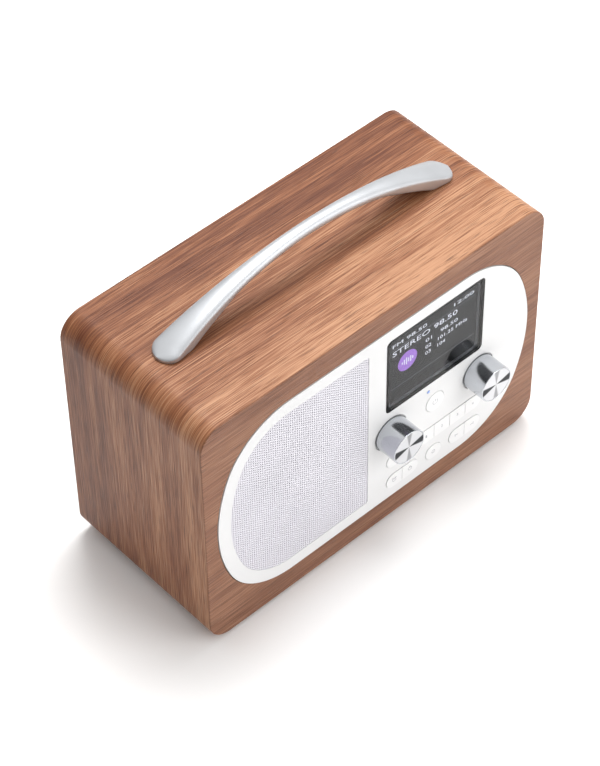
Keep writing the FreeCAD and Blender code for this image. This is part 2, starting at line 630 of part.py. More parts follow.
def build_knob(name, side):
    """A knob, its shaft and its encoder."""
    x = control_x + side * s.knob_spacing / 2
    flat_low = s.shaft_radius - s.shaft_flat
    shaft_end = face_y + s.bush_front + 6.2
    front = face_y - s.knob_stand
    hub_depth = s.shaft_reach
    hollow = s.knob_radius - 1.4
    body_y = pcb_y - s.encoder_depth

    round_part = rod(name + "_shaft_round", "y", x, face_y - hub_depth, knob_z, s.shaft_radius,
                     shaft_end - face_y + hub_depth)
    flat = box(name + "_shaft_flat", x - s.shaft_radius, face_y - hub_depth - 1, knob_z + flat_low,
               2 * s.shaft_radius, hub_depth - 0.5, s.shaft_radius)
    nodes = [cut(name + "_shaft", round_part, flat)]

    cap = turned(name + "_knob_cap", x, front, knob_z, [
        (0, 0), (s.knob_radius - s.knob_chamfer, 0), (s.knob_radius, s.knob_chamfer),
        (s.knob_radius, s.knob_stand + s.knob_sink), (hollow, s.knob_stand + s.knob_sink),
        (hollow, s.knob_stand - hub_depth + 1.5), (s.shaft_radius + 2, s.knob_stand - hub_depth + 1.5),
        (s.shaft_radius + 2, s.knob_stand - 1), (0, s.knob_stand - 1)])
    bore = rod(name + "_bore_round", "y", x, face_y - hub_depth, knob_z, s.shaft_radius + 0.01, hub_depth + 2)
    fill = box(name + "_bore_flat", x - s.shaft_radius - 1, face_y - hub_depth - 1, knob_z + flat_low + 0.01,
               2 * s.shaft_radius + 2, hub_depth - 0.5, s.shaft_radius + 1)
    socket = cut(name + "_socket", bore, fill)
    nodes.append(cut(name + "_knob", cap, socket))

    block = box(name + "_encoder_block", x - s.encoder_wide / 2, body_y, knob_z - s.encoder_wide / 2,
                s.encoder_wide, s.encoder_depth, s.encoder_wide)
    bush = rod(name + "_encoder_bush", "y", x, face_y + s.bush_front, knob_z, s.bush_radius,
               body_y - face_y - s.bush_front + 0.5)
    bore = rod(name + "_encoder_bore", "y", x, face_y, knob_z, s.shaft_radius + s.shaft_fit,
               pcb_y - face_y - 0.3)
    nodes.append(cut(name + "_encoder", fuse(name + "_encoder_solid", block, bush), bore))
    return nodes, (x, shaft_end)


def build_knobs():
    """Both knobs; the right one also presses a plunger inside its encoder."""
    nodes = []
    left, _ = build_knob("volume", -1)
    right, (x, shaft_end) = build_knob("select", 1)
    nodes += left + right
    nodes.append(rod("select_plunger", "y", x, shaft_end + 0.02, knob_z, s.plunger_radius, s.plunger_length))
    return nodes


# ---------------------------------------------------------------- speaker
def build_speaker():
    """A full-range drive unit behind the grille, from its frame to its yoke."""
    at = (speaker_x, speaker_y, speaker_z)
    skin = 1.2
    floor = s.basket_depth
    cone_low = 1.6 + s.cone_rise
    inner = speaker_hole - 2
    neck = s.magnet_radius + 0.8
    iron = floor + skin
    frame = build_basket(at, skin, floor, inner, neck)
    holes = [rod(f"basket_hole_{number}", "y", x, speaker_y - 1, z, s.screw_radius + 0.2, skin + 2)
             for number, (x, z) in enumerate(speaker_screw_spots)]
    nodes = [cut("speaker_basket", frame, *holes)]
    nodes.append(turned("speaker_top_plate", *at, [
        (s.coil_radius + 0.6, iron), (s.magnet_radius - 3, iron),
        (s.magnet_radius - 3, iron + s.plate_iron), (s.coil_radius + 0.6, iron + s.plate_iron)]))
    ring = iron + s.plate_iron
    nodes.append(turned("speaker_magnet", *at, [
        (s.coil_radius + 3, ring), (s.magnet_radius, ring),
        (s.magnet_radius, ring + s.magnet_thick), (s.coil_radius + 3, ring + s.magnet_thick)]))
    rear = ring + s.magnet_thick
    nodes.append(turned("speaker_yoke", *at, [
        (0, iron), (s.coil_radius - 0.6, iron), (s.coil_radius - 0.6, rear), (s.magnet_radius - 3, rear),
        (s.magnet_radius - 3, rear + s.plate_iron), (0, rear + s.plate_iron)]))
    nodes.append(turned("voice_coil", *at, [
        (s.coil_radius - 0.2, cone_low), (s.coil_radius + 0.2, cone_low),
        (s.coil_radius + 0.2, iron + s.plate_iron), (s.coil_radius - 0.2, iron + s.plate_iron)]))
    nodes.append(turned("speaker_cone", *at, [
        (s.coil_radius + 0.2, cone_low), (cone_radius, 1.6), (cone_radius, 2.4),
        (s.coil_radius + 0.2, cone_low + 0.8)]))
    nodes.append(turned("dust_cap", *at, [
        (0, 4.4), (5, 4.9), (9.4, 6.4), (s.coil_radius + 2.6, cone_low - 1.4),
        (s.coil_radius + 2.0, cone_low - 1.1), (9.0, 7.0), (5, 5.5), (0, 5.0)]))
    nodes.append(turned("speaker_surround", *at, [
        (speaker_hole - 0.2, 0), (speaker_hole - 0.2, -0.6), (inner - 0.2, -0.6), (inner - 1.1, -2.4),
        (cone_radius + 1, -2.4), (cone_radius - 0.6, 1.0), (cone_radius, 1.5),
        (cone_radius + 1.3, -1.8), (inner - 1.4, -1.8), (inner - 0.5, 0)]))
    spider = floor - 4.4
    nodes.append(turned("speaker_spider", *at, [
        (s.coil_radius + 0.25, spider), (14, spider - 0.8), (18, spider + 0.4), (22, spider - 0.8),
        (neck, spider), (neck, spider + 0.5), (22, spider - 0.3), (18, spider + 0.9),
        (14, spider - 0.3), (s.coil_radius + 0.25, spider + 0.5)]))
    return nodes


def build_basket(at, skin, floor, inner, neck):
    """The pressed frame, with six windows round its side."""
    x, y, z = at
    body = turned("basket_frame", x, y, z, [
        (inner, 0), (s.speaker_radius, 0), (s.speaker_radius, skin), (inner + 1.2, skin),
        (neck + 1.6, floor), (neck + 1.6, floor + skin), (s.coil_radius + 3, floor + skin),
        (s.coil_radius + 3, floor), (neck + 0.2, floor), (neck + 0.2, floor - 1), (inner, 1)])
    sketch = new_sketch(body, "Window", "YZ_Plane")
    low, high, half = 4.5, float(floor) - 4, 7.0
    corners = [(low, -half), (high, -half + 2), (high, half - 2), (low, half)]
    sketch.addGeometry([line(corners[index], corners[(index + 1) % 4]) for index in range(4)])
    sketch.addConstraint([Sketcher.Constraint("Coincident", index, 2, (index + 1) % 4, 1)
                          for index in range(4)])
    for index, (along, across) in enumerate(corners):
        bind_point(sketch, index, 1, floor - 4 if along == high else along, across)
    DOC.recompute()
    solid_volume = body.Shape.Volume
    pocket = body.newObject("PartDesign::Pocket", "WindowCut")
    pocket.Profile = sketch
    pocket.Reversed = True
    link(pocket, "Length", s.speaker_radius + 5)
    sketch.Visibility = False
    DOC.recompute()
    if body.Shape.Volume > solid_volume - 1:
        raise RuntimeError("the frame's window cuts nothing")
    ring = body.newObject("PartDesign::PolarPattern", "WindowRing")
    ring.Originals = [pocket]
    profile = next(item for item in body.Group if item.Name.startswith("Profile"))
    ring.Axis = (profile, ["V_Axis"])
    ring.Angle = 360
    ring.Occurrences = 6
    body.Tip = ring
    return body


# ---------------------------------------------------------------- back
def build_back():
    """The back panel with the battery bay, its door and pack, the main board and the sockets."""
    panel = case_slab("panel_sheet", s.back_rim + s.panel_fit, panel_y, s.panel_thick)
    posts = [rod(f"main_post_{number}", "y", x, main_y + s.pcb_thick, z, s.post_radius,
                 s.main_stand - s.pcb_thick + 0.5) for number, (x, z) in enumerate(main_screw_spots)]
    shelf = box("mast_shelf", s.mast_side - s.tube_length + 8, panel_out_y - 0.5,
                mast_z - s.tube_radius - 0.4 - 2, 8, s.antenna_proud - s.pivot_radius + 3.5, 2)
    solid = fuse("panel_solid", panel, shelf, *posts)

    door_wide = s.bay_wide + 2 * s.door_lap
    door_high = s.bay_high + 2 * s.door_lap
    tools = [slab("door_opening", bay_x, bay_z, door_wide + 2 * s.door_fit, door_high + 2 * s.door_fit,
                  panel_y - 1, s.panel_thick + 2, 2.5)]
    socket_x = {name: main_x - s.main_wide / 2 + along for name, along in
                (("dc", DC_AT), ("phones", PHONES_AT), ("aux", AUX_AT), ("usb", USB_AT))}
    noses = {"dc": 4.4, "phones": 3.0, "aux": 3.0}
    for name, nose in noses.items():
        tools.append(rod(f"{name}_panel_hole", "y", socket_x[name], panel_y - 1, jack_z, nose + 0.2,
                         s.panel_thick + 2))
    tools.append(box("usb_panel_hole", socket_x["usb"] - 4.6, panel_y - 1, jack_z - 2.2, 9.2,
                     s.panel_thick + 2, 4.4))
    tools += [rod(f"panel_hole_{number}", "y", x, panel_y - 1, z, s.wood_screw + 0.25, s.panel_thick + 2)
              for number, (x, z) in enumerate(back_screw_spots)]
    tools.append(rod("stud_hole", "y", s.mast_side, panel_y - 1, mast_z, s.stud_radius + s.tube_fit,
                     s.panel_thick + 2))
    tools += [rod(f"main_pilot_{number}", "y", x, main_y, z, s.screw_radius + s.thread_fit,
                  s.screw_length + 0.3) for number, (x, z) in enumerate(main_screw_spots)]
    nodes = [cut("back_panel", solid, *tools)]

    outer = slab("bay_outer", bay_x, bay_z, s.bay_wide + 2 * (s.door_lap + s.bay_wall),
                 s.bay_high + 2 * (s.door_lap + s.bay_wall), panel_y - s.bay_deep, s.bay_deep, 3.0)
    inner = slab("bay_inner", bay_x, bay_z, s.bay_wide, s.bay_high, panel_y - s.bay_deep + 2,
                 s.bay_deep, 2.0)
    nodes.append(cut("battery_bay", outer, inner))
    nodes.append(slab("battery_pack", bay_x, bay_z, s.bay_wide - 2 * s.pack_gap,
                      s.bay_high - 2 * s.pack_gap, panel_y - s.bay_deep + 2, s.bay_deep - 8, 3.0))

    cover = slab("door_sheet", bay_x, bay_z, door_wide, door_high, panel_y, s.door_thick, 2.2)
    grip = slab("door_grip", bay_x, bay_z + door_high / 2 - 6, 24, 5, panel_y + 1.4, s.door_thick, 2.4)
    nodes.append(cut("battery_door", cover, grip))

    board = slab("main_sheet", main_x, main_z, s.main_wide, s.main_high, main_y, s.pcb_thick, 2.0)
    holes = [rod(f"main_hole_{number}", "y", x, main_y - 1, z, s.screw_radius + 0.2, s.pcb_thick + 2)
             for number, (x, z) in enumerate(main_screw_spots)]
    tuner = box("tuner_can", main_x - 22, main_y - 5, main_z - 4, 34, 5, 28)
    nodes.append(fuse("main_board", cut("main_sheet_drilled", board, *holes), tuner))

    seat_y = main_y + s.pcb_thick
    length = panel_y - seat_y
    shapes = {"dc": ("dc_inlet", 4.8, 2.8, 9.5), "phones": ("headphone_socket", 3.6, 1.8, 13.0),
              "aux": ("aux_socket", 3.6, 1.8, 13.0)}
    for key, (label, half, bore_radius, bore_depth) in shapes.items():
        x = socket_x[key]
        housing = box(label + "_block", x - half, seat_y, jack_z - half, 2 * half, length, 2 * half)
        nose = rod(label + "_nose", "y", x, panel_y - 1, jack_z, noses[key], s.panel_thick + 1)
        bore = rod(label + "_bore", "y", x, panel_out_y - bore_depth, jack_z, bore_radius, bore_depth + 1)
        parts = cut(label + "_shell", fuse(label + "_solid", housing, nose), bore)
        if key == "dc":
            pin = rod("dc_pin", "y", x, panel_out_y - bore_depth - 1, jack_z, 1.0, bore_depth)
            parts = fuse(label, parts, pin)
        else:
            parts.Label = label
        nodes.append(parts)
    usb = box("usb_block", socket_x["usb"] - 4.4, seat_y, jack_z - 2.0, 8.8, length + s.panel_thick, 4.0)
    slot = box("usb_slot", socket_x["usb"] - 3.8, panel_out_y - 6, jack_z - 1.4, 7.6, 7, 2.8)
    nodes.append(cut("service_socket", usb, slot))
    return nodes


# ---------------------------------------------------------------- antenna
def build_antenna():
    """A swivel stud, a forked knuckle with its pin, and five telescoping tubes."""
    x, gap = s.mast_side, s.fork_gap
    nodes = [turned("antenna_base", x, panel_y - 2, mast_z, [
        (0, 0), (s.stud_radius + 2, 0), (s.stud_radius + 2, 1.9), (s.stud_radius, 1.9),
        (s.stud_radius, 2 + s.panel_thick), (s.stud_radius + 3, 2 + s.panel_thick),
        (s.stud_radius + 3, 3.6 + s.panel_thick), (0, 3.6 + s.panel_thick)])]
    disc_y = panel_y + s.panel_thick + 1.6 + 0.1
    reach = s.pivot_radius
    disc = rod("knuckle_disc", "y", x, disc_y, mast_z, s.stud_radius + 2.4, mast_y - reach + 0.4 - disc_y)
    ear = box("knuckle_ear", x - reach, disc_y, mast_z - reach, 2 * reach, mast_y - disc_y, 2 * reach)
    crown = rod("knuckle_crown", "z", x, mast_y, mast_z - reach, reach, 2 * reach)
    slot = box("knuckle_slot", x - 10, mast_y - reach + 0.4, mast_z - s.tongue_thick / 2 - gap, 20, 20,
               s.tongue_thick + 2 * gap)
    pin_hole = rod("knuckle_pin_hole", "z", x, mast_y, mast_z - 10, s.pin_radius + 0.02, 20)
    nodes.append(cut("antenna_knuckle", fuse("knuckle_solid", disc, ear, crown), slot, pin_hole))
    nodes.append(rod("antenna_pin", "z", x, mast_y, mast_z - reach - 0.3, s.pin_radius, 2 * reach + 0.6))

    count = 5
    step = s.tube_wall + s.tube_fit
    start = x - reach - 1.2
    plug = 3.0
    for number in range(1, count + 1):
        radius = s.tube_radius - (number - 1) * step
        inset = plug + 0.2 if number > 1 else 0
        length = s.tube_length - plug + (number - 1) * 1.5 - inset
        end = start - inset - length
        tube = rod(f"tube_{number}_round", "x", end, mast_y, mast_z, radius, length)
        if number == count:
            button = rod("tip_button", "x", end - 4, mast_y, mast_z, s.tube_radius - 0.1, 4)
            nodes.append(fuse(f"antenna_tube_{number}", tube, button))
            continue
        hollow = rod(f"tube_{number}_bore", "x", end - 1, mast_y, mast_z, radius - s.tube_wall,
                     length + 2 if number > 1 else length - plug + 1)
        piped = cut(f"tube_{number}_pipe", tube, hollow)
        if number > 1:
            piped.Label = f"antenna_tube_{number}"
            nodes.append(piped)
            continue
        tongue = box("tongue_bar", start - 0.5, mast_y - 2.2, mast_z - s.tongue_thick / 2,
                     x - start + 0.5, 4.4, s.tongue_thick)
        eye = rod("tongue_eye", "z", x, mast_y, mast_z - s.tongue_thick / 2, 3.0, s.tongue_thick)
        hole = rod("tongue_hole", "z", x, mast_y, mast_z - 5, s.pin_radius + s.tube_fit, 10)
        nodes.append(cut("antenna_tube_1", fuse("tongue_solid", piped, tongue, eye), hole))
    return nodes


# ---------------------------------------------------------------- handle
def chord_radius(half, sagitta):
    """The radius of an arc from half its chord and its rise."""
    return (half * half + sagitta * sagitta) / (2 * sagitta)


def build_handle():
    """An arched bar with two flat feet: its side outline and its top outline, crossed."""
    y = (front_y + back_y) / 2
    half, land = s.handle_half, s.handle_land
    over = s.handle_rise - s.handle_tip
    under = s.handle_rise - s.handle_thick
    over_radius, under_radius = chord_radius(half, over), chord_radius(land, under)
    over_angle = math.degrees(math.asin(float(half) / float(over_radius)))
    under_angle = math.degrees(math.asin(float(land) / float(under_radius)))
    side = DOC.addObject("PartDesign::Body", "handle_side")
    sketch = new_sketch(side, "Outline", "XZ_Plane")
    sketch.addGeometry([
        arc((0, float(s.handle_rise - over_radius)), over_radius, 90 - over_angle, 90 + over_angle),
        line((-half, s.handle_tip), (-half, 0)),
        line((-half, 0), (-land, 0)),
        arc((0, float(under - under_radius)), under_radius, 90 - under_angle, 90 + under_angle),
        line((land, 0), (half, 0)),
        line((half, 0), (half, s.handle_tip)),
    ])
    joins = ((0, 2, 1, 1), (1, 2, 2, 1), (2, 2, 3, 2), (3, 1, 4, 1), (4, 2, 5, 1), (5, 2, 0, 1))
    sketch.addConstraint([Sketcher.Constraint("Coincident", *join) for join in joins])
    bind_point(sketch, 1, 1, -half, s.handle_tip)
    bind_point(sketch, 1, 2, -half, 0)
    bind_point(sketch, 2, 2, -land, 0)
    bind_point(sketch, 4, 1, land, 0)
    bind_point(sketch, 5, 1, half, 0)
    bind_point(sketch, 5, 2, half, s.handle_tip)
    bind_new(sketch, over_radius, "Radius", 0)
    bind_new(sketch, under_radius, "Radius", 3)
    pad(side, sketch, s.handle_foot)
    place(side, 0, y - s.handle_foot / 2, top_z)

    foot, waist = s.handle_foot / 2, s.handle_waist / 2
    seat = half - foot
    dip = chord_radius(seat, foot - waist)
    dip_angle = math.degrees(math.asin(float(seat) / float(dip)))
    plan = DOC.addObject("PartDesign::Body", "handle_plan")
    sketch = new_sketch(plan, "Outline", "XY_Plane")
    centre = float(waist + dip)
    sketch.addGeometry([
        arc((0, centre), dip, 270 - dip_angle, 270 + dip_angle),
        arc((seat, 0), foot, -90, 90),
        arc((0, -centre), dip, 90 - dip_angle, 90 + dip_angle),
        arc((-seat, 0), foot, 90, 270),
    ])
    joins = ((0, 2, 1, 2), (1, 1, 2, 1), (2, 2, 3, 2), (3, 1, 0, 1))
    sketch.addConstraint([Sketcher.Constraint("Coincident", *join) for join in joins])
    bind_point(sketch, 1, 3, seat, 0)
    bind_point(sketch, 3, 3, -seat, 0)
    bind_point(sketch, 0, 2, seat, foot)
    bind_point(sketch, 0, 1, -seat, foot)
    sketch.addConstraint([Sketcher.Constraint("Vertical", 1, 1, 1, 2),
                          Sketcher.Constraint("Vertical", 3, 1, 3, 2)])
    bind_new(sketch, dip, "Radius", 0)
    bind_new(sketch, dip, "Radius", 2)
    feature = plan.newObject("PartDesign::Pad", "Pad")
    feature.Profile = sketch
    link(feature, "Length", s.handle_rise + 2)
    sketch.Visibility = False
    place(plan, 0, y, top_z - 1)

    crossed = DOC.addObject("Part::Common", "handle_crossed")
    crossed.Base, crossed.Tool = side, plan
    screws, pilots = [], []
    for sign in (-1, 1):
        x = sign * s.handle_screw_at
        shank = rod(f"handle_shank_{sign}", "z", x, y, top_z - s.wall, s.handle_screw,
                    s.handle_screw_length)
        head = rod(f"handle_head_{sign}", "z", x, y, top_z - s.wall - s.handle_screw_head_high,
                   s.handle_screw_head, s.handle_screw_head_high)
        screws.append(fuse(f"handle_screw_{sign}", shank, head))
        pilots.append(rod(f"handle_pilot_{sign}", "z", x, y, top_z - 1, s.handle_screw + s.thread_fit,
                          s.handle_screw_length - s.wall + 1.3))
    nodes = [cut("handle", crossed, *pilots)]
    nodes.append(group("handle_screws", screws))
    return nodes


# ---------------------------------------------------------------- fasteners
def build_fasteners():
    """The small screws inside and the wood screws in the back panel."""
    small = []
    seats = (("fascia", fascia_screw_spots, board_back_y), ("speaker", speaker_screw_spots, speaker_y + 1.2),
             ("control", control_screw_spots, pcb_y + s.pcb_thick))
    for kind, spots, y in seats:
        small += [screw(f"{kind}_screw_{number}", x, y, z, -1, s.screw_radius, s.screw_length,
                        s.screw_head, s.screw_head_high) for number, (x, z) in enumerate(spots)]
    small += [screw(f"main_screw_{number}", x, main_y, z, 1, s.screw_radius, s.screw_length,
                    s.screw_head, s.screw_head_high) for number, (x, z) in enumerate(main_screw_spots)]
    wood = [screw(f"wood_screw_{number}", x, panel_out_y, z, -1, s.wood_screw, s.wood_screw_length,
                  s.wood_screw_head, 1.4) for number, (x, z) in enumerate(back_screw_spots)]
    return [group("small_screws", small), group("back_screws", wood)]


def check_and_write(nodes):
    """Stop on any failed object or bad solid, then write one STEP file for each node."""
    DOC.recompute()
    bad = [item.Label for item in DOC.Objects if "Invalid" in item.State or "Error" in item.State]
    if bad:
        raise RuntimeError(f"failed objects: {bad}")
    for node in nodes:
        shape = node.Shape
        if shape.isNull() or not shape.isValid() or not shape.Solids:
            raise RuntimeError(f"bad shape: {node.Label}")
    labels = [node.Label for node in nodes]
    if len(set(labels)) != len(labels) or len(labels) > 60:
        raise RuntimeError(f"{len(labels)} nodes, names not unique or too many")
    os.makedirs("parts", exist_ok=True)
    for node in nodes:
        node.Shape.exportStep(os.path.join("parts", node.Label + ".step"))
    print(f"{len(nodes)} nodes written")


check_and_write(build_cabinet() + build_fascia() + build_keys() + build_control_board() + build_knobs()
                + build_speaker() + build_back() + build_antenna() + build_handle() + build_fasteners())
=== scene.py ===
"""Looks of a tabletop radio: a veneered case, a moulded front with grille, display, keys and knobs."""

import json
import logging
import math
from contextlib import contextmanager
from dataclasses import dataclass
from enum import Enum
from typing import Callable, Iterator

import bmesh
import bpy
from mathutils import Matrix, Vector

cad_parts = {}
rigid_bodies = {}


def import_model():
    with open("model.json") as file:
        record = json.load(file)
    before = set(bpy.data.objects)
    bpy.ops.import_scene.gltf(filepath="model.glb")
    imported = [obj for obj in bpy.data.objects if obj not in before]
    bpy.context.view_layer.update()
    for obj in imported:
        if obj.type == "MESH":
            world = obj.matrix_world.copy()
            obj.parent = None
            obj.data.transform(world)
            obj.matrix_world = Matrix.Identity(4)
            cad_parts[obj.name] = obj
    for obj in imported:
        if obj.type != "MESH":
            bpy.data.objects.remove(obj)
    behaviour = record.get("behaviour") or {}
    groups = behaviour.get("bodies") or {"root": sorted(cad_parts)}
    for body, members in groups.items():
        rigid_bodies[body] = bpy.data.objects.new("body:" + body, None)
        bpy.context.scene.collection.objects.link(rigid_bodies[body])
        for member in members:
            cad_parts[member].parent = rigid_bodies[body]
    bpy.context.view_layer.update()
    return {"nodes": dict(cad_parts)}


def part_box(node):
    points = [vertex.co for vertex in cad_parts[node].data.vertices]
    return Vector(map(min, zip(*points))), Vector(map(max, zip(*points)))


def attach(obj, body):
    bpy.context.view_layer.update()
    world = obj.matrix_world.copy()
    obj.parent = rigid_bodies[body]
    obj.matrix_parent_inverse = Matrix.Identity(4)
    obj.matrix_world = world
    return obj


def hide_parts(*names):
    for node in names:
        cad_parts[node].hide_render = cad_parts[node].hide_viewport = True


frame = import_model()
NODES = frame["nodes"]
LOG = logging.getLogger("radio")
MM = 0.001
RADIO = "radio"
WELD = 0.01  # points closer than this are one, in mm
FACING = 0.9  # a face looks along an axis when its normal's share of it is over this
USUAL = (0.3, 0.7)  # nearly all values of a noise lie in here
CORE = (0.35, 0.65)  # most values of a noise lie in here
Triple = tuple[float, float, float]
Piece = bpy.types.Object
Material = bpy.types.Material
Socket = bpy.types.NodeSocket


class Axis(Enum):
    """A direction, with the turn that brings a piece made along Z onto it."""

    X = (0.0, math.pi / 2, 0.0)
    Y = (math.pi / 2, 0.0, 0.0)


class Align(Enum):
    """Where a line of figures starts from."""

    LEFT = "LEFT"
    CENTRE = "CENTER"


# ---------------------------------------------------------------- colour
def tone(red: int, green: int, blue: int) -> tuple[float, float, float, float]:
    """A display colour as linear light.

    Args:
        red: amount of red, 0 to 255.
        green: amount of green, 0 to 255.
        blue: amount of blue, 0 to 255.

    Returns:
        The four linear numbers that a colour socket takes.
    """
    linear = []
    for amount in (red, green, blue):
        share = amount / 255
        linear.append(share / 12.92 if share <= 0.04045 else ((share + 0.055) / 1.055) ** 2.4)
    return (*linear, 1.0)


# ---------------------------------------------------------------- workshop
def select_only(*pieces: Piece) -> None:
    """Selects these pieces and nothing else; the last one is active.

    Args:
        pieces: what the next operator acts on.
    """
    for other in bpy.context.view_layer.objects:
        other.select_set(False)
    for piece in pieces:
        piece.select_set(True)
    bpy.context.view_layer.objects.active = pieces[-1] if pieces else None


@contextmanager
def editing(piece: Piece, everything: bool = False) -> Iterator[bmesh.types.BMesh]:
    """Edit mode on one piece, left again at the end of the block.

    Args:
        piece: the mesh piece to edit.
        everything: whether all of it starts selected.

    Yields:
        The piece's edit mesh.
    """
    select_only(piece)
    bpy.ops.object.mode_set(mode="EDIT")
    bpy.ops.mesh.select_mode(type="FACE")
    bpy.ops.mesh.select_all(action="SELECT" if everything else "DESELECT")
    yield bmesh.from_edit_mesh(piece.data)
    bpy.ops.object.mode_set(mode="OBJECT")


def pick_faces(mesh: bmesh.types.BMesh, wanted: Callable[[bmesh.types.BMFace], bool]) -> None:
    """Selects the faces that a test accepts.

    Args:
        mesh: the edit mesh.
        wanted: says whether a face is picked.
    """
    mesh.faces.ensure_lookup_table()
    for face in mesh.faces:
        face.select_set(wanted(face))


def apply_modifier(piece: Piece, kind: str, **settings: object) -> None:
    """Adds one modifier and applies it.

    Args:
        piece: the piece it works on.
        kind: Blender's name for the modifier's type.
        settings: the modifier's own settings.
    """
    select_only(piece)
    modifier = piece.modifiers.new(kind.title(), kind)
    for name, value in settings.items():
        setattr(modifier, name, value)
    bpy.ops.object.modifier_apply(modifier=modifier.name)


def settle(piece: Piece) -> None:
    """Moves a piece's place, turn and size into its mesh."""
    select_only(piece)
    bpy.ops.object.transform_apply(location=True, rotation=True, scale=True)


def smooth(piece: Piece, crease_deg: float = 32.0) -> None:
    """Shades a piece smooth, with a crease where faces meet at more than an angle.

    Args:
        piece: the piece to shade.
        crease_deg: the smallest angle that stays a crease, in degrees.
    """
    select_only(piece)
    bpy.ops.object.shade_smooth_by_angle(angle=math.radians(crease_deg))


def rounded(piece: Piece, width: float, steps: int = 3, crease_deg: float = 30.0) -> None:
    """Rounds a piece's sharp edges.

    Args:
        piece: the piece.
        width: width of the rounding, in mm.
        steps: faces across the rounding.
        crease_deg: edges sharper than this are rounded, in degrees.
    """
    apply_modifier(piece, "BEVEL", width=width * MM, segments=steps, limit_method="ANGLE",
                   angle_limit=math.radians(crease_deg), harden_normals=False, miter_outer="MITER_ARC")
    smooth(piece)
    apply_modifier(piece, "WEIGHTED_NORMAL", keep_sharp=True)


def named(piece: Piece, name: str) -> Piece:
    """Gives a new piece and its data their name, and returns it."""
    piece.name = name
    piece.data.name = name
    return piece


def new_box(name: str, low: Triple, high: Triple) -> Piece:
    """A box from corner to corner.

    Args:
        name: the piece's name.
        low: lowest corner, in mm.
        high: highest corner, in mm.

    Returns:
        The piece, with its place in its mesh.
    """
    middle = [(a + b) / 2 * MM for a, b in zip(low, high)]
    sides = [(b - a) * MM for a, b in zip(low, high)]
    select_only()
    bpy.ops.mesh.primitive_cube_add(size=1, location=middle, scale=sides)
    piece = named(bpy.context.object, name)
    settle(piece)
    return piece


def new_rod(name: str, axis: Axis, middle: Triple, radius: float, length: float,
            sides: int = 48) -> Piece:
    """A round bar.

    Args:
        name: the piece's name.
        axis: the way it points.
        middle: its centre, in mm.
        radius: in mm.
        length: in mm.
        sides: faces round it.

    Returns:
        The piece, with its place in its mesh.
    """
    select_only()
    bpy.ops.mesh.primitive_cylinder_add(vertices=sides, radius=radius * MM, depth=length * MM,
                                        location=[v * MM for v in middle], rotation=axis.value)
    piece = named(bpy.context.object, name)
    settle(piece)
    return piece


def new_text(text: str, align: Align, at: Triple, high: float, wide: float) -> Piece:
    """One line of figures as a flat mesh that faces the front.

    Args:
        text: what it says.
        align: where it starts from.
        at: where it starts, on its base line, in mm.
        high: height of a capital, in mm.
        wide: its whole width, in mm.

    Returns:
        The line, with its place in its mesh.
    """
    select_only()
    bpy.ops.object.text_add(location=(0, 0, 0))
    words = bpy.context.object
    words.data.body = text
    words.data.align_x = align.value
    words.data.resolution_u = 3
    words.data.extrude = 0.0
    bpy.context.view_layer.update()
    size = words.dimensions
    bpy.ops.object.convert(target="MESH")
    words = bpy.context.object
    words.scale = (wide * MM / size.x, high * MM / size.y, 1.0)
    words.rotation_euler = Axis.Y.value
    words.location = [v * MM for v in at]
    settle(words)
    return words


def joined(name: str, *pieces: Piece) -> Piece:
    """Several pieces made one, under a name.

    Args:
        name: the joined piece's name.
        pieces: the pieces that go into it.

    Returns:
        The joined piece.
    """
    select_only(*pieces)
    if len(pieces) > 1:
        bpy.ops.object.join()
    return named(bpy.context.object, name)


def copy_of(node: str, name: str) -> Piece:
    """A copy of a CAD node with its loose triangles merged into clean faces.

    Args:
        node: the CAD node.
        name: the copy's name.

    Returns:
        The copy.
    """
    piece = bpy.data.objects.new(name, NODES[node].data.copy())
    piece.data.name = name
    bpy.context.scene.collection.objects.link(piece)
    select_only(piece)
    bpy.ops.mesh.customdata_custom_splitnormals_clear()
    with editing(piece, everything=True):
        bpy.ops.mesh.remove_doubles(threshold=0.002 * MM)
        bpy.ops.mesh.dissolve_limited(angle_limit=math.radians(0.4))
    return piece


def weld(piece: Piece) -> None:
    """Merges a piece's close points and turns its faces outward."""
    with editing(piece, everything=True):
        bpy.ops.mesh.remove_doubles(threshold=WELD * MM)
        bpy.ops.mesh.normals_make_consistent(inside=False)


def thicken(piece: Piece, depth: float) -> None:
    """Turns a flat piece that faces the front into a closed sheet.

    Args:
        piece: the piece.
        depth: how far it reaches back, in mm.
    """
    with editing(piece, everything=True):
        bpy.ops.mesh.extrude_region_move(TRANSFORM_OT_translate={"value": (0, depth * MM, 0)})
        bpy.ops.mesh.select_all(action="SELECT")
        bpy.ops.mesh.normals_make_consistent(inside=False)


def face_middle(node: str) -> Triple:
    """The middle of a CAD node's front face, in mm."""
    low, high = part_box(node)
    return (low.x + high.x) / 2 / MM, low.y / MM, (low.z + high.z) / 2 / MM


def fit(piece: Piece, body: str, finish: Material, slot: str,
        *stands_for: str) -> Piece:
    """Finishes a piece: its material, the body it rides on and what it stands for.

    Args:
        piece: the finished shape.
        body: the CAD body it rides on.
        finish: its material.
        slot: the record's slot for that material; not used.
        stands_for: the CAD nodes that it replaces.

    Returns:
        The same piece.
    """
    piece.data.materials.clear()
    piece.data.materials.append(finish)
    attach(piece, body)
    if stands_for:
        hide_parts(*stands_for)
    LOG.info("%s rides on %s, %d faces", piece.name, body, len(piece.data.polygons))
    return piece


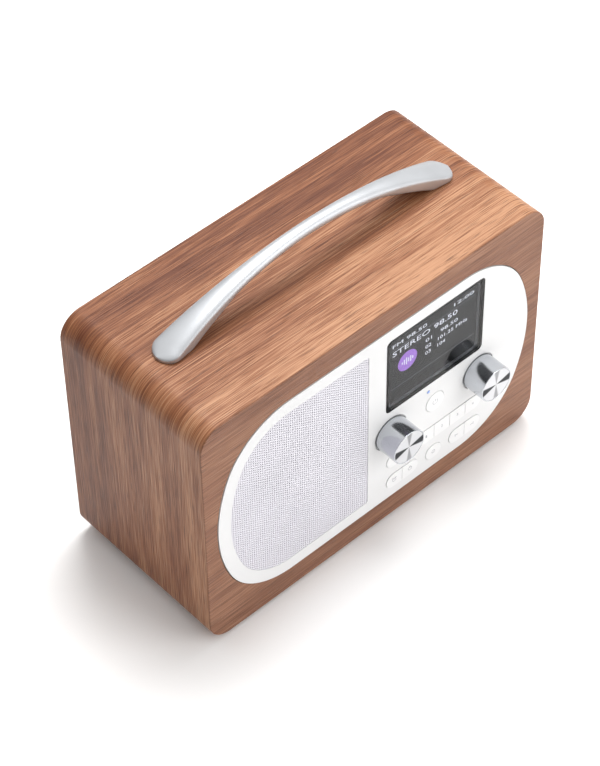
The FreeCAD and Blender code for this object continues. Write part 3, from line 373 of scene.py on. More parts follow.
# ---------------------------------------------------------------- materials
class Recipe:
    """A material's nodes while they are put together."""

    def __init__(self, name: str, surface: dict[str, object]) -> None:
        """Starts a material.

        Args:
            name: the material's name.
            surface: values for the shader's own sockets.
        """
        self.material = bpy.data.materials.new(name)
        self.material.use_nodes = True
        self.tree = self.material.node_tree
        self.shader = next(n for n in self.tree.nodes if n.type == "BSDF_PRINCIPLED")
        for socket, value in surface.items():
            self.surface(socket, value)

    def feed(self, socket: Socket, value: object) -> None:
        """Joins an input to a pattern, or gives it a plain value.

        Args:
            socket: the input.
            value: a pattern's socket or a value.
        """
        if isinstance(value, Socket):
            self.tree.links.new(value, socket)
        else:
            socket.default_value = value

    def surface(self, socket: str, value: object) -> None:
        """Gives one of the shader's own sockets a pattern or a value."""
        self.feed(self.shader.inputs[socket], value)

    def add(self, kind: str, inputs: dict[str | int, object] | None = None,
            **settings: object) -> bpy.types.Node:
        """Adds a node.

        Args:
            kind: the node's type, without its prefix.
            inputs: a pattern or a value for each input, by name or number.
            settings: the node's own settings.

        Returns:
            The node.
        """
        node = self.tree.nodes.new("ShaderNode" + kind)
        for name, value in settings.items():
            setattr(node, name, value)
        for key, value in (inputs or {}).items():
            self.feed(node.inputs[key], value)
        return node

    def place(self, lengths: Triple, centre: Triple = (0, 0, 0),
              turn: Triple = (0, 0, 0)) -> Socket:
        """Object coordinates, measured in steps of given lengths.

        Args:
            lengths: one step along each axis, in mm.
            centre: the pattern's origin, in mm.
            turn: the pattern's turn about each axis, in radians.

        Returns:
            The coordinates' socket.
        """
        inputs = {"Location": [v * MM for v in centre], "Rotation": turn,
                  "Scale": [v * MM for v in lengths], "Vector": self.add("TexCoord").outputs["Object"]}
        return self.add("Mapping", inputs, vector_type="TEXTURE").outputs["Vector"]

    def noise(self, lengths: Triple, detail: float = 2.0, rough: float = 0.5,
              warp: float = 0.0) -> Socket:
        """A random pattern with features of given lengths.

        Args:
            lengths: feature length along each axis, in mm.
            detail: how many finer layers it has.
            rough: how strong those are.
            warp: how far it is pulled about.

        Returns:
            The pattern, about 0 to 1.
        """
        inputs = {"Scale": 1.0, "Detail": detail, "Roughness": rough, "Distortion": warp,
                  "Vector": self.place(lengths)}
        return self.add("TexNoise", inputs).outputs["Fac"]

    def spread(self, source: Socket, low: float, high: float, to_low: float = 0.0,
               to_high: float = 1.0) -> Socket:
        """Maps a range of a pattern onto another range.

        Args:
            source: the pattern.
            low: the value that becomes to_low.
            high: the value that becomes to_high.
            to_low: start of the new range.
            to_high: end of the new range.

        Returns:
            The mapped pattern, held inside the new range.
        """
        inputs = {"Value": source, "From Min": low, "From Max": high, "To Min": to_low, "To Max": to_high}
        return self.add("MapRange", inputs, interpolation_type="SMOOTHSTEP").outputs["Result"]

    def vary(self, source: Socket, level: float, share: float) -> Socket:
        """A level that a noise raises and lowers.

        Args:
            source: the noise.
            level: the level's middle.
            share: how far it goes each way, as a share of the level.

        Returns:
            The varied level.
        """
        return self.spread(source, *USUAL, level * (1 - share), level * (1 + share))

    def reckon(self, operation: str, first: object, second: object = 0.0) -> Socket:
        """A sum on patterns.

        Args:
            operation: the Math node's operation.
            first: a socket or a number.
            second: a socket or a number.

        Returns:
            The result's socket.
        """
        return self.add("Math", {0: first, 1: second}, operation=operation).outputs["Value"]

    def ramp(self, source: Socket, *stops: tuple[float, tuple]) -> Socket:
        """A run of colours along a pattern.

        Args:
            source: the pattern.
            stops: places from 0 to 1, each with its colour.

        Returns:
            The colour's socket.
        """
        node = self.add("ValToRGB", {"Fac": source})
        while len(node.color_ramp.elements) < len(stops):
            node.color_ramp.elements.new(1.0)
        for element, (at, colour) in zip(node.color_ramp.elements, stops):
            element.position = at
            element.color = colour
        return node.outputs["Color"]

    def blend(self, share: Socket, first: object, second: object) -> Socket:
        """One colour laid over another.

        Args:
            share: how much of the second shows.
            first: a colour or a colour's socket.
            second: a colour or a colour's socket.

        Returns:
            The mixed colour's socket.
        """
        node = self.add("Mix", {"Factor": share}, data_type="RGBA")
        colours = [socket for socket in node.inputs if socket.type == "RGBA"]
        for socket, value in zip(colours, (first, second)):
            self.feed(socket, value)
        return next(socket for socket in node.outputs if socket.type == "RGBA")

    def drift(self, share: Socket, colour: tuple, dimmest: float) -> Socket:
        """A colour that a pattern dims here and there.

        Args:
            share: how much of the dimmer colour shows.
            colour: the colour.
            dimmest: how much of its light the dimmer colour keeps.

        Returns:
            The mixed colour's socket.
        """
        return self.blend(share, colour, (*(v * dimmest for v in colour[:3]), 1.0))

    def relief(self, height: Socket, depth: float) -> None:
        """Turns a pattern into fine relief.

        Args:
            height: the pattern, 0 to 1.
            depth: how deep it is, in mm.
        """
        bump = self.add("Bump", {"Distance": depth * MM, "Height": height})
        self.surface("Normal", bump.outputs["Normal"])


class Grain(Enum):
    """Which way a veneer is laid: the axis that crosses its grain."""

    ROUND_THE_CASE = 1
    ALONG_THE_FRONT = 2


@dataclass(frozen=True)
class Veneer:
    """Oiled walnut veneer: broad bands, fine streaks and short open pores along the grain, and where asked
    a painted shade that darkens it towards the back.
    """

    name: str
    laid: Grain
    pale: tuple
    middle: tuple
    deep: tuple
    pore: tuple
    painted_back_shade: float = 0.0  # painted shade: how much darker its colour is painted at the back than at the front, standing in for light that falls brighter on the front
    bands: Triple = (13.0, 210.0, 0.34)  # each mark's width and length in mm, and its share of the figure
    ribbons: Triple = (2.0, 70.0, 0.16)
    streaks: Triple = (0.45, 28.0, 0.5)
    dashes: Triple = (0.4, 14.0, 0.6)
    stops: Triple = (0.36, 0.5, 0.63)
    # where the painted shade runs from front to back, along Y in mm
    front_to_back: tuple[float, float] = (-45.0, 50.0)

    def marks(self, mark: Triple) -> tuple[float, ...]:
        """Lengths on each axis of a mark that lies along the grain, in mm."""
        return tuple(mark[0] if axis == self.laid.value else mark[1] for axis in range(3))

    def made(self) -> Material:
        """The material."""
        mix = Recipe(self.name, {"Specular IOR Level": 0.3})
        bands = mix.noise(self.marks(self.bands), warp=0.4)
        ribbons = mix.noise(self.marks(self.ribbons))
        streaks = mix.noise(self.marks(self.streaks))
        figure = mix.reckon("MULTIPLY", bands, self.bands[2])
        for pattern, share in ((ribbons, self.ribbons[2]), (streaks, self.streaks[2])):
            figure = mix.reckon("ADD", figure, mix.reckon("MULTIPLY", pattern, share))
        # painted shade: darkens the figure towards the back and lightens it towards the front
        if self.painted_back_shade:
            place = mix.add("SeparateXYZ", {"Vector": mix.place((1.0, 1.0, 1.0))})
            half = self.painted_back_shade / 2
            painted_shade_toward_back = mix.spread(place.outputs["Y"], *self.front_to_back, half, -half)
            figure = mix.reckon("ADD", figure, painted_shade_toward_back)
        wood = mix.ramp(figure, *zip(self.stops, (self.deep, self.middle, self.pale)))
        dashes = mix.spread(mix.noise(self.marks(self.dashes), detail=1.0), 0.56, 0.72)
        open_pores = mix.reckon("MULTIPLY", dashes, self.dashes[2])
        mix.surface("Base Color", mix.blend(open_pores, wood, self.pore))
        mix.surface("Roughness", mix.spread(streaks, *USUAL, 0.52, 0.4))
        mix.relief(mix.reckon("SUBTRACT", mix.reckon("MULTIPLY", streaks, 0.35), dashes), 0.06)
        return mix.material


@dataclass(frozen=True)
class Moulding:
    """Moulded plastic or rubber: a fine spark-eroded grain and a faint drift of colour."""

    name: str
    colour: tuple
    roughness: float
    grain: float = 0.25
    depth: float = 0.004
    drift: float = 0.03
    surface: tuple = ()
    cloud: float = 38.0
    unevenness: float = 0.08

    def made(self) -> Material:
        """The material."""
        mix = Recipe(self.name, dict(self.surface))
        cloud = mix.noise((self.cloud,) * 3)
        mix.surface("Base Color", mix.drift(mix.spread(cloud, *CORE), self.colour, 1 - 2 * self.drift))
        mix.surface("Roughness", mix.vary(cloud, self.roughness, self.unevenness))
        mix.relief(mix.noise((self.grain,) * 3, detail=1.0), self.depth)
        return mix.material


@dataclass(frozen=True)
class Metal:
    """Bare, plated, blasted or lacquered metal with fine tooling marks."""

    name: str
    colour: tuple
    roughness: float
    marks: Triple = (0.3, 0.3, 0.3)
    depth: float = 0.001
    spread: float = 0.12
    bare: float = 1.0  # 1 is bare metal, and less is metal under lacquer
    cloud: float = 22.0
    dullest: float = 0.93

    def made(self) -> Material:
        """The material."""
        mix = Recipe(self.name, {"Metallic": self.bare})
        tooling = mix.noise(self.marks, rough=0.6)
        cloud = mix.spread(mix.noise((self.cloud,) * 3, detail=3.0), *CORE)
        mix.surface("Base Color", mix.drift(cloud, self.colour, self.dullest))
        mix.surface("Roughness", mix.vary(tooling, self.roughness, self.spread))
        mix.relief(tooling, self.depth)
        return mix.material


@dataclass(frozen=True)
class SpunCapPaintedSectors:
    """A knob's front, turned on a lathe, with a painted reflection: its colour is painted bright in four
    broad sectors and dark in the sectors between them.
    """

    name: str
    centre: Triple
    bright: tuple = tone(205, 206, 209)
    # painted reflection: the colour painted into the dark sectors
    dark: tuple = tone(38, 39, 43)
    side_painted_dark: float = 1.0
    upright_painted_dark: float = 0.55
    side_fade: tuple[float, float] = (0.2, 0.34)  # sine of the angle from level where the painted dark sector ends
    upright_fade: tuple[float, float] = (0.1, 0.26)
    roughness: tuple[float, float] = (0.3, 0.38)
    groove: float = 0.4
    groove_deep: float = 0.0002

    def made(self) -> Material:
        """The material."""
        mix = Recipe(self.name, {"Metallic": 1.0, "Anisotropic": 0.4})
        place = mix.add("SeparateXYZ", {"Vector": mix.place((1.0, 1.0, 1.0), self.centre)})
        angle = mix.reckon("ARCTAN2", place.outputs["Z"], place.outputs["X"])
        upright = mix.reckon("ABSOLUTE", mix.reckon("SINE", angle))
        level = mix.reckon("ABSOLUTE", mix.reckon("COSINE", angle))
        # painted reflection: how dark each place is painted, in sectors at the sides and above and below
        sides = mix.spread(upright, *self.side_fade, self.side_painted_dark, 0.0)
        poles = mix.spread(level, *self.upright_fade, self.upright_painted_dark, 0.0)
        mix.surface("Base Color", mix.blend(mix.reckon("ADD", sides, poles), self.bright, self.dark))
        grooves = mix.noise((self.groove,) * 3)
        mix.surface("Roughness", mix.spread(grooves, *USUAL, *self.roughness))
        mix.relief(grooves, self.groove_deep)
        tangent = mix.add("Tangent", direction_type="RADIAL", axis="Y")
        mix.surface("Tangent", tangent.outputs["Tangent"])
        return mix.material


@dataclass(frozen=True)
class Woven:
    """Open woven cloth, threads running along X and Z."""

    name: str
    colour: tuple
    hollow: tuple
    pitch: float = 0.5
    waves: float = 0.314  # brings the wave texture to one thread in each pitch
    depth: float = 0.08

    def made(self) -> Material:
        """The material."""
        mix = Recipe(self.name, {"Roughness": 0.9, "Sheen Weight": 0.25, "Specular IOR Level": 0.2})
        threads = []
        for way in ("X", "Z"):
            inputs = {"Scale": self.waves, "Distortion": 0.6, "Vector": mix.place((self.pitch,) * 3)}
            threads.append(mix.add("TexWave", inputs, bands_direction=way).outputs["Fac"])
        weave = mix.reckon("MULTIPLY", *threads)
        mix.surface("Base Color", mix.blend(mix.spread(weave, 0.05, 0.6), self.hollow, self.colour))
        mix.relief(weave, self.depth)
        return mix.material


@dataclass(frozen=True)
class Clear:
    """Clear or smoked glass and acrylic, with the faintest smear on the surface."""

    name: str
    colour: tuple
    roughness: float = 0.02
    ior: float = 1.49
    wipe: Triple = (25.0, 25.0, 12.0)
    thinnest: float = 0.97

    def made(self) -> Material:
        """The material."""
        mix = Recipe(self.name, {"Transmission Weight": 1.0, "IOR": self.ior})
        smear = mix.noise(self.wipe, detail=3.0, warp=0.5)
        mix.surface("Base Color", mix.drift(mix.spread(smear, *USUAL), self.colour, self.thinnest))
        clean, smeared = self.roughness * 0.6, self.roughness * 1.6
        mix.surface("Roughness", mix.spread(smear, 0.35, 0.7, clean, smeared))
        return mix.material


@dataclass(frozen=True)
class Lit:
    """Something that glows: display figures and the lamp, with a little unevenness."""

    name: str
    colour: tuple
    power: float
    cloud: float = 3.0
    dimmest: float = 0.88

    def made(self) -> Material:
        """The material."""
        mix = Recipe(self.name, {"Roughness": 0.4, "Emission Strength": self.power})
        cloud = mix.spread(mix.noise((self.cloud,) * 3, detail=1.0), *USUAL)
        for socket in ("Base Color", "Emission Color"):
            mix.surface(socket, mix.drift(cloud, self.colour, self.dimmest))
        return mix.material


@dataclass(frozen=True)
class Board:
    """Green solder mask over copper runs."""

    name: str = "board_mask"
    mask: tuple = tone(24, 92, 52)
    copper: tuple = tone(52, 128, 70)
    pitch: float = 3.0

    def made(self) -> Material:
        """The material."""
        mix = Recipe(self.name, {"Specular IOR Level": 0.5, "Roughness": 0.38})
        inputs = {"Scale": 1.0, "Mortar Size": 0.07, "Brick Width": 2.4, "Row Height": 0.8,
                  "Vector": mix.place((self.pitch,) * 3, turn=Axis.Y.value)}
        runs = mix.add("TexBrick", inputs, offset=0.35).outputs["Fac"]
        mix.surface("Base Color", mix.blend(runs, self.mask, self.copper))
        mix.relief(runs, 0.03)
        return mix.material


class Paints:
    """Every finish of the radio, made once."""

    def __init__(self) -> None:
        """Makes the materials."""
        white = tone(230, 230, 230)
        recipes = {
            # the last number paints the case veneer darker towards the back, a painted shade
            "case": Veneer("case_veneer", Grain.ROUND_THE_CASE, tone(181, 133, 99), tone(138, 87, 57),
                           tone(96, 52, 32), tone(66, 34, 22), 0.12),
            "front": Veneer("front_veneer_wood", Grain.ALONG_THE_FRONT, tone(164, 119, 91),
                            tone(140, 95, 70), tone(112, 71, 51), tone(84, 52, 38)),
            "rim": Moulding("case_rim", tone(112, 72, 50), 0.55, 0.7, 0.03, 0.14),
            "fibreboard": Moulding("fibreboard_core", tone(150, 118, 86), 0.85, 0.5, 0.05, 0.1),
            "white": Moulding("white_moulded", white, 0.34, 0.3, 0.002, 0.01),
            "keys": Moulding("white_keys", tone(238, 238, 238), 0.3, 0.3, 0.002, 0.01),
            "legend": Moulding("grey_legend", tone(168, 170, 174), 0.5),
            "grille": Moulding("painted_grille", tone(226, 224, 231), 0.42, 0.2, 0.003, 0.02),
            "cloth": Woven("dust_cloth", tone(150, 148, 160), tone(96, 94, 104)),
            "glass": Clear("display_glass", tone(180, 182, 186), 0.01, 1.25),
            "acrylic": Clear("clear_acrylic", tone(225, 232, 250), 0.08),
            "black": Moulding("black_moulded", tone(24, 24, 26), 0.5, 0.45, 0.02, 0.08),
            "panel": Moulding("display_black", tone(14, 14, 15), 0.6, 0.3, 0.003, 0.05,
                              (("Specular IOR Level", 0.1),)),
            "rubber": Moulding("foot_rubber", tone(40, 40, 42), 0.8, 0.5, 0.03, 0.06),
            "board": Board(),
            "chrome": Metal("knob_chrome", tone(206, 209, 214), 0.2, (6.0, 6.0, 6.0), 0.0, 0.08),
            "steel": Metal("plain_steel", tone(186, 188, 192), 0.3, (0.4, 3.0, 0.4)),
            "encoder": Metal("encoder_shell", tone(170, 174, 176), 0.35, (2.0, 0.2, 2.0)),
            "basket": Moulding("basket_paint", tone(34, 35, 38), 0.45, 0.6, 0.02, 0.06),
            "ferrite": Moulding("ferrite", tone(46, 46, 48), 0.7, 0.3, 0.02, 0.12),
            "copper": Metal("copper_winding", tone(206, 120, 72), 0.3, (6.0, 0.12, 6.0), 0.02),
            "paper": Moulding("pressed_paper", tone(52, 50, 50), 0.88, 0.9, 0.06, 0.14),
            "surround": Moulding("surround_rubber", tone(30, 30, 32), 0.6, 0.4, 0.01, 0.06),
            "spider": Woven("spider_cloth", tone(204, 168, 96), tone(140, 104, 52), 0.7),
            "sleeve": Moulding("pack_sleeve", tone(40, 74, 116), 0.32, 0.6, 0.006, 0.06),
            "socket": Moulding("socket_plastic", tone(30, 30, 32), 0.4, 0.25, 0.006, 0.05),
            "antenna": Metal("antenna_chrome", tone(222, 224, 228), 0.12, (8.0, 0.2, 0.2), 0.0003),
            "alloy": Metal("satin_alloy", tone(196, 198, 201), 0.42, (0.22, 0.22, 0.22), 0.003, 0.14, 0.7),
            "screw": Metal("black_screw", tone(50, 50, 54), 0.4, (0.3, 0.3, 0.3), 0.002),
            "figures": Lit("display_figures", tone(238, 240, 246), 1.9),
            "rules": Lit("display_rules", tone(150, 152, 158), 0.8),
            "disc": Lit("display_disc", tone(176, 122, 226), 1.5),
            "lamp": Lit("lamp_glow", tone(132, 158, 216), 0.3),
        }
        self.by_name = {key: recipe.made() for key, recipe in recipes.items()}

    def __getitem__(self, key: str) -> Material:
        """The material of that name."""
        return self.by_name[key]


@dataclass
class Assembly:
    """A sub-assembly of the radio, with the finishes that it takes."""

    paints: Paints

    def dress(self, finish: str, *nodes: str) -> None:
        """Gives carried-over CAD nodes their material.

        Args:
            finish: the finish's name.
            nodes: the CAD nodes.
        """
        for node in nodes:
            NODES[node].data.materials.clear()
            NODES[node].data.materials.append(self.paints[finish])
            LOG.info("%s keeps its shape, finish %s", node, finish)


# ---------------------------------------------------------------- case
@dataclass
class Case(Assembly):
    """The veneered case with its feet."""

    edge: float = 0.35
    core_edge: float = 0.3
    rim_facing: float = 0.8

    def build(self) -> None:
        """Makes the case's pieces."""
        wrap = copy_of("cabinet_wrap", "case_wrap")
        rounded(wrap, self.edge)
        fit(wrap, RADIO, self.paints["case"], "walnut", "cabinet_wrap")
        wrap.data.materials.append(self.paints["rim"])
        for face in wrap.data.polygons:
            face.material_index = int(abs(face.normal.y) > self.rim_facing)
        front = copy_of("front_veneer", "case_front")
        rounded(front, self.core_edge, 2)
        fit(front, RADIO, self.paints["front"], "walnut", "front_veneer")
        self.dress("fibreboard", "front_board")
        self.dress("rubber", "rubber_feet")


# ---------------------------------------------------------------- front
@dataclass
class Grille(Assembly):
    """The painted steel sheet with its staggered round holes."""

    pitch: float = 1.65
    hole: float = 0.98

    def outline(self) -> list[Vector]:
        """The CAD sheet's outline in X and Z, in order round it.

        Returns:
            Its corners, in metres.
        """
        sheet = copy_of("speaker_grille", "grille_outline")
        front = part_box("speaker_grille")[0].y
        face = min(sheet.data.polygons, key=lambda f: (abs(f.center.y - front) > 0.05 * MM, -f.area))
        corners = [sheet.data.vertices[v].co.copy() for v in face.vertices]
        bpy.data.objects.remove(sheet)
        return corners

    @staticmethod
    def pulled_in(point: Vector, corners: list[Vector]) -> bool:
        """Brings a point outside the outline onto it.

        Args:
            point: the point, moved where it stands outside.
            corners: the outline.

        Returns:
            Whether the point was inside already.
        """
        inside, nearest, best = False, None, math.inf
        for a, b in zip(corners, corners[1:] + corners[:1]):
            if (a.z > point.z) != (b.z > point.z):
                if point.x < (b.x - a.x) * (point.z - a.z) / (b.z - a.z) + a.x:
                    inside = not inside
            run = b - a
            share = max(0.0, min(1.0, (point - a).dot(run) / max(run.length_squared, 1e-18)))
            at = a + run * share
            gap = (at.x - point.x) ** 2 + (at.z - point.z) ** 2
            if gap < best:
                nearest, best = at, gap
        if not inside:
            point.x, point.z = nearest.x, nearest.z
        return inside

    def cell(self, at: Triple) -> Piece:
        """One six-sided cell round one hole, facing the front.

        Args:
            at: its centre, in mm.

        Returns:
            The cell.
        """
        select_only()
        reach = self.pitch / math.sqrt(3)
        bpy.ops.mesh.primitive_circle_add(vertices=6, radius=reach * MM, fill_type="NGON",
                                          location=[v * MM for v in at],
                                          rotation=(math.pi / 2, math.pi / 6, 0.0))
        ring = bpy.context.object
        settle(ring)
        with editing(ring, everything=True):
            bpy.ops.mesh.inset(thickness=(reach - self.hole / 2) * math.cos(math.pi / 6) * MM)
            bpy.ops.mesh.delete(type="FACE")
        return ring

    def build(self) -> None:
        """Makes the sheet."""
        low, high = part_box("speaker_grille")
        corners = self.outline()
        column = self.pitch * math.sqrt(3) / 2
        x, y, z = low.x / MM, low.y / MM, low.z / MM
        sheet = joined("grille_sheet", self.cell((x, y, z)),
                       self.cell((x + column, y, z + self.pitch / 2)))
        across = math.ceil((high.x - low.x) / MM / column / 2) + 1
        up = math.ceil((high.z - low.z) / MM / self.pitch) + 1
        for count, step in ((across, (2 * column * MM, 0, 0)), (up, (0, 0, self.pitch * MM))):
            apply_modifier(sheet, "ARRAY", count=count, use_relative_offset=False,
                           use_constant_offset=True, constant_offset_displace=step)
        with editing(sheet, everything=True) as mesh:
            bpy.ops.mesh.remove_doubles(threshold=WELD * MM)
            outside = {v for v in mesh.verts if not self.pulled_in(v.co, corners)}
            pick_faces(mesh, lambda face: all(v in outside for v in face.verts))
            bpy.ops.mesh.delete(type="FACE")
        weld(sheet)
        with editing(sheet, everything=True) as mesh:
            if sum(face.normal.y * face.calc_area() for face in mesh.faces) > 0:
                bpy.ops.mesh.flip_normals()
        thicken(sheet, (high.y - low.y) / MM)
        fit(sheet, RADIO, self.paints["grille"], "grille_metal", "speaker_grille")


@dataclass
class Display(Assembly):
    """The glossy window, its printed black border, and what the panel shows just behind it."""

    behind: float = 0.05
    thick: float = 0.04
    pane_edge: float = 0.15
    border: float = 1.1
    border_inset: float = 0.1
    border_from: float = 0.02
    border_to: float = 0.3
    seen_shift: tuple[float, float] = (0.79, -1.31)  # the window's glass bends the view by this much
    figures: tuple = (  # words, left end, base line, height of a capital and width, in mm
        ("FM 98.50", 8.7, 130.4, 2.3, 23.5),
        ("12:00", 50.2, 130.7, 2.3, 14.0),
        ("STEREO 98.50", 8.9, 124.2, 3.3, 45.0),
        ("01   98.50", 32.0, 118.6, 2.3, 22.5),
        ("02   101.25 MHz", 32.0, 113.8, 2.3, 29.5),
        ("03   104", 32.0, 109.3, 2.3, 14.0),
    )
    rules: tuple = ((8.7, 67.0, 128.7), (8.7, 67.0, 100.2))  # left end, right end and height
    rule_high: float = 0.18
    disc: Triple = (19.7, 114.9, 6.6)  # centre's X and Z, and radius
    bars: tuple[float, ...] = (1.6, 3.4, 5.0, 2.6, 4.0, 1.8)
    bar_wide: float = 0.7
    bars_span: float = 1.3  # of the disc's radius

    def build(self) -> None:
        """Makes the display."""
        self.dress("panel", "display_module")
        self.window()
        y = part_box("display_window")[1].y / MM + self.behind
        shift, drop = self.seen_shift
        words = joined("display_words", *[
            new_text(text, Align.LEFT, (x + shift, y, z + drop), high, wide)
            for text, x, z, high, wide in self.figures])
        thicken(words, self.thick)
        fit(words, RADIO, self.paints["figures"], "display_glass")
        half = self.rule_high / 2
        rules = joined("display_rules", *[
            new_box("rule", (left + shift, y, z + drop - half),
                    (right + shift, y + self.thick, z + drop + half))
            for left, right, z in self.rules])
        fit(rules, RADIO, self.paints["rules"], "display_glass")
        x, z, radius = self.disc
        x, z = x + shift, z + drop
        disc = new_rod("display_disc", Axis.Y, (x, y + self.thick * 1.5, z), radius, self.thick, 64)
        rounded(disc, self.thick / 3, 1)
        fit(disc, RADIO, self.paints["disc"], "display_glass")
        pitch = radius * self.bars_span / len(self.bars)
        start = x - pitch * (len(self.bars) - 1) / 2
        half = self.bar_wide / 2
        bars = joined("display_bars", *[
            new_box("bar", (start + n * pitch - half, y, z - high / 2),
                    (start + n * pitch + half, y + self.thick, z + high / 2))
            for n, high in enumerate(self.bars)])
        fit(bars, RADIO, self.paints["figures"], "display_glass")

    def window(self) -> None:
        """The glass, its rim painted black, and the black border behind it."""
        pane = copy_of("display_window", "display_pane")
        apply_modifier(pane, "BEVEL", width=self.pane_edge * MM, segments=2, limit_method="ANGLE")
        select_only(pane)
        bpy.ops.object.shade_flat()
        fit(pane, RADIO, self.paints["glass"], "display_glass", "display_window")
        pane.data.materials.append(self.paints["panel"])
        low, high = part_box("display_window")
        for face in pane.data.polygons:
            face.material_index = int(abs(face.normal.y) < 0.4)
        edge, back = self.border_inset, high.y / MM
        border = new_box("display_border", (low.x / MM + edge, back + self.border_from, low.z / MM + edge),
                         (high.x / MM - edge, back + self.border_to, high.z / MM - edge))
        with editing(border) as mesh:
            pick_faces(mesh, lambda face: abs(face.normal.y) > FACING)
            bpy.ops.mesh.inset(thickness=self.border * MM)
            bpy.ops.mesh.delete(type="ONLY_FACE")
            bpy.ops.mesh.select_mode(type="EDGE")
            bpy.ops.mesh.select_non_manifold()
            bpy.ops.mesh.bridge_edge_loops()
            bpy.ops.mesh.select_all(action="SELECT")
            bpy.ops.mesh.normals_make_consistent(inside=False)
        fit(border, RADIO, self.paints["panel"], "display_glass")


@dataclass
class Front(Assembly):
    """The white moulding with its grille, display and lamp."""

    edge: float = 0.4
    lamp_radius: float = 0.9
    lamp_deep: float = 0.3
    lamp_edge: float = 0.1
    lamp_proud: float = 0.02

    def build(self) -> None:
        """Makes the front's pieces."""
        fascia = copy_of("fascia", "front_moulding")
        rounded(fascia, self.edge)
        fit(fascia, RADIO, self.paints["white"], "white_moulding", "fascia")
        self.dress("cloth", "grille_cloth")
        self.dress("acrylic", "light_pipe")
        Grille(self.paints).build()
        Display(self.paints).build()
        x, y, z = face_middle("light_pipe")
        lamp = new_rod("lamp_lens", Axis.Y, (x, y - self.lamp_proud, z), self.lamp_radius,
                       self.lamp_deep, 32)
        rounded(lamp, self.lamp_edge, 2)
        fit(lamp, RADIO, self.paints["lamp"], "clear_acrylic")


# ---------------------------------------------------------------- keys
@dataclass(frozen=True)
class Legend:
    """A key's raised mark, measured in mm from the middle of the key's face."""

    strokes: tuple[tuple[float, float, float, float], ...]  # each one's X, Z, width and height
    radius: float = 0.0  # of a ring round the middle
    gap_deg: float = 0.0  # the ring's opening at its top


@dataclass
class Keys(Assembly):
    """The eleven white keys and their raised legends."""

    edge: float = 0.35
    lift: float = 0.03
    stroke: float = 0.32
    digit_high: float = 1.9
    digit_wide: float = 1.1

    def legends(self) -> dict[str, Legend]:
        """The legend of each key that has no digit."""
        thin = self.stroke
        return {
            "menu_key": Legend(tuple((0, step, 2.6, thin) for step in (-0.9, 0.0, 0.9))),
            "alarm_key": Legend(((0, 0.4, thin, 0.9), (-1.2, 1.4, 0.8, 0.4), (1.2, 1.4, 0.8, 0.4)), 1.2),
            "timer_key": Legend(((0, 0.35, thin, 0.8), (0, 1.75, 0.9, 0.35)), 1.2),
            "enter_key": Legend(((0, 0, 0.5, 0.5),), 1.1),
            "previous_key": Legend(((-1.0, 0, thin, 1.8), (0.3, 0, 1.6, thin))),
            "next_key": Legend(((1.0, 0, thin, 1.8), (-0.3, 0, 1.6, thin))),
            "standby_key": Legend(((0, 1.3, thin, 1.8),), 1.7, 70.0),
        }

    def build(self) -> None:
        """Makes every key with its legend."""
        legends = self.legends()
        for name in [f"preset_key_{n}" for n in range(1, 5)] + list(legends):
            key = copy_of(name, name + "_cap")
            rounded(key, self.edge, 3)
            fit(key, name, self.paints["keys"], "key_plastic", name)
            at = face_middle(name)
            parts = self.mark(legends[name], at) if name in legends else [self.digit(name[-1], at)]
            legend = joined(name + "_legend", *parts)
            fit(legend, name, self.paints["legend"], "key_plastic")

    def mark(self, legend: Legend, at: Triple) -> list[Piece]:
        """A legend's pieces.

        Args:
            legend: its shape.
            at: the middle of the key's face, in mm.

        Returns:
            Its ring, if it has one, and its strokes.
        """
        x, y, z = at
        ring = [self.ring(at, legend.radius, legend.gap_deg)] if legend.radius else []
        return ring + [self.bar(x + right, y, z + up, wide, high)
                       for right, up, wide, high in legend.strokes]

    def bar(self, x: float, y: float, z: float, wide: float, high: float) -> Piece:
        """A short raised stroke centred on a point, sizes in mm."""
        return new_box("stroke", (x - wide / 2, y - self.lift, z - high / 2),
                       (x + wide / 2, y + self.lift, z + high / 2))

    def ring(self, at: Triple, radius: float, gap_deg: float) -> Piece:
        """A raised ring, open at its top by an angle.

        Args:
            at: its centre, on the key's face, in mm.
            radius: to the middle of its stroke, in mm.
            gap_deg: how wide the opening is, in degrees.

        Returns:
            The ring.
        """
        select_only()
        middle = [v * MM for v in at]
        bpy.ops.mesh.primitive_torus_add(major_segments=48, minor_segments=8, major_radius=radius * MM,
                                         minor_radius=self.stroke / 2 * MM, location=middle,
                                         rotation=Axis.Y.value)
        ring = bpy.context.object
        settle(ring)
        with editing(ring, everything=True):
            bpy.ops.transform.resize(value=(1, 2 * self.lift / self.stroke, 1), center_override=middle)
        if gap_deg:
            half = math.radians(gap_deg) / 2
            with editing(ring) as mesh:
                pick_faces(mesh, lambda face: self.from_top(face, middle) < half)
                bpy.ops.mesh.delete(type="FACE")
            with editing(ring):
                bpy.ops.mesh.select_mode(type="EDGE")
                bpy.ops.mesh.select_non_manifold()
                bpy.ops.mesh.edge_face_add()
        return ring

    @staticmethod
    def from_top(face: bmesh.types.BMFace, middle: list[float]) -> float:
        """A face's angle from straight up, round a point in metres, in radians."""
        way = face.calc_center_median() - Vector(middle)
        return abs(math.atan2(way.x, way.z))

    def digit(self, text: str, at: Triple) -> Piece:
        """A raised figure on a preset key.

        Args:
            text: the figure.
            at: the middle of the key's face, in mm.

        Returns:
            The figure.
        """
        start = (at[0], at[1] - self.lift, at[2] - self.digit_high / 2)
        figure = new_text(text, Align.CENTRE, start, self.digit_high, self.digit_wide)
        thicken(figure, 2 * self.lift)
        return figure


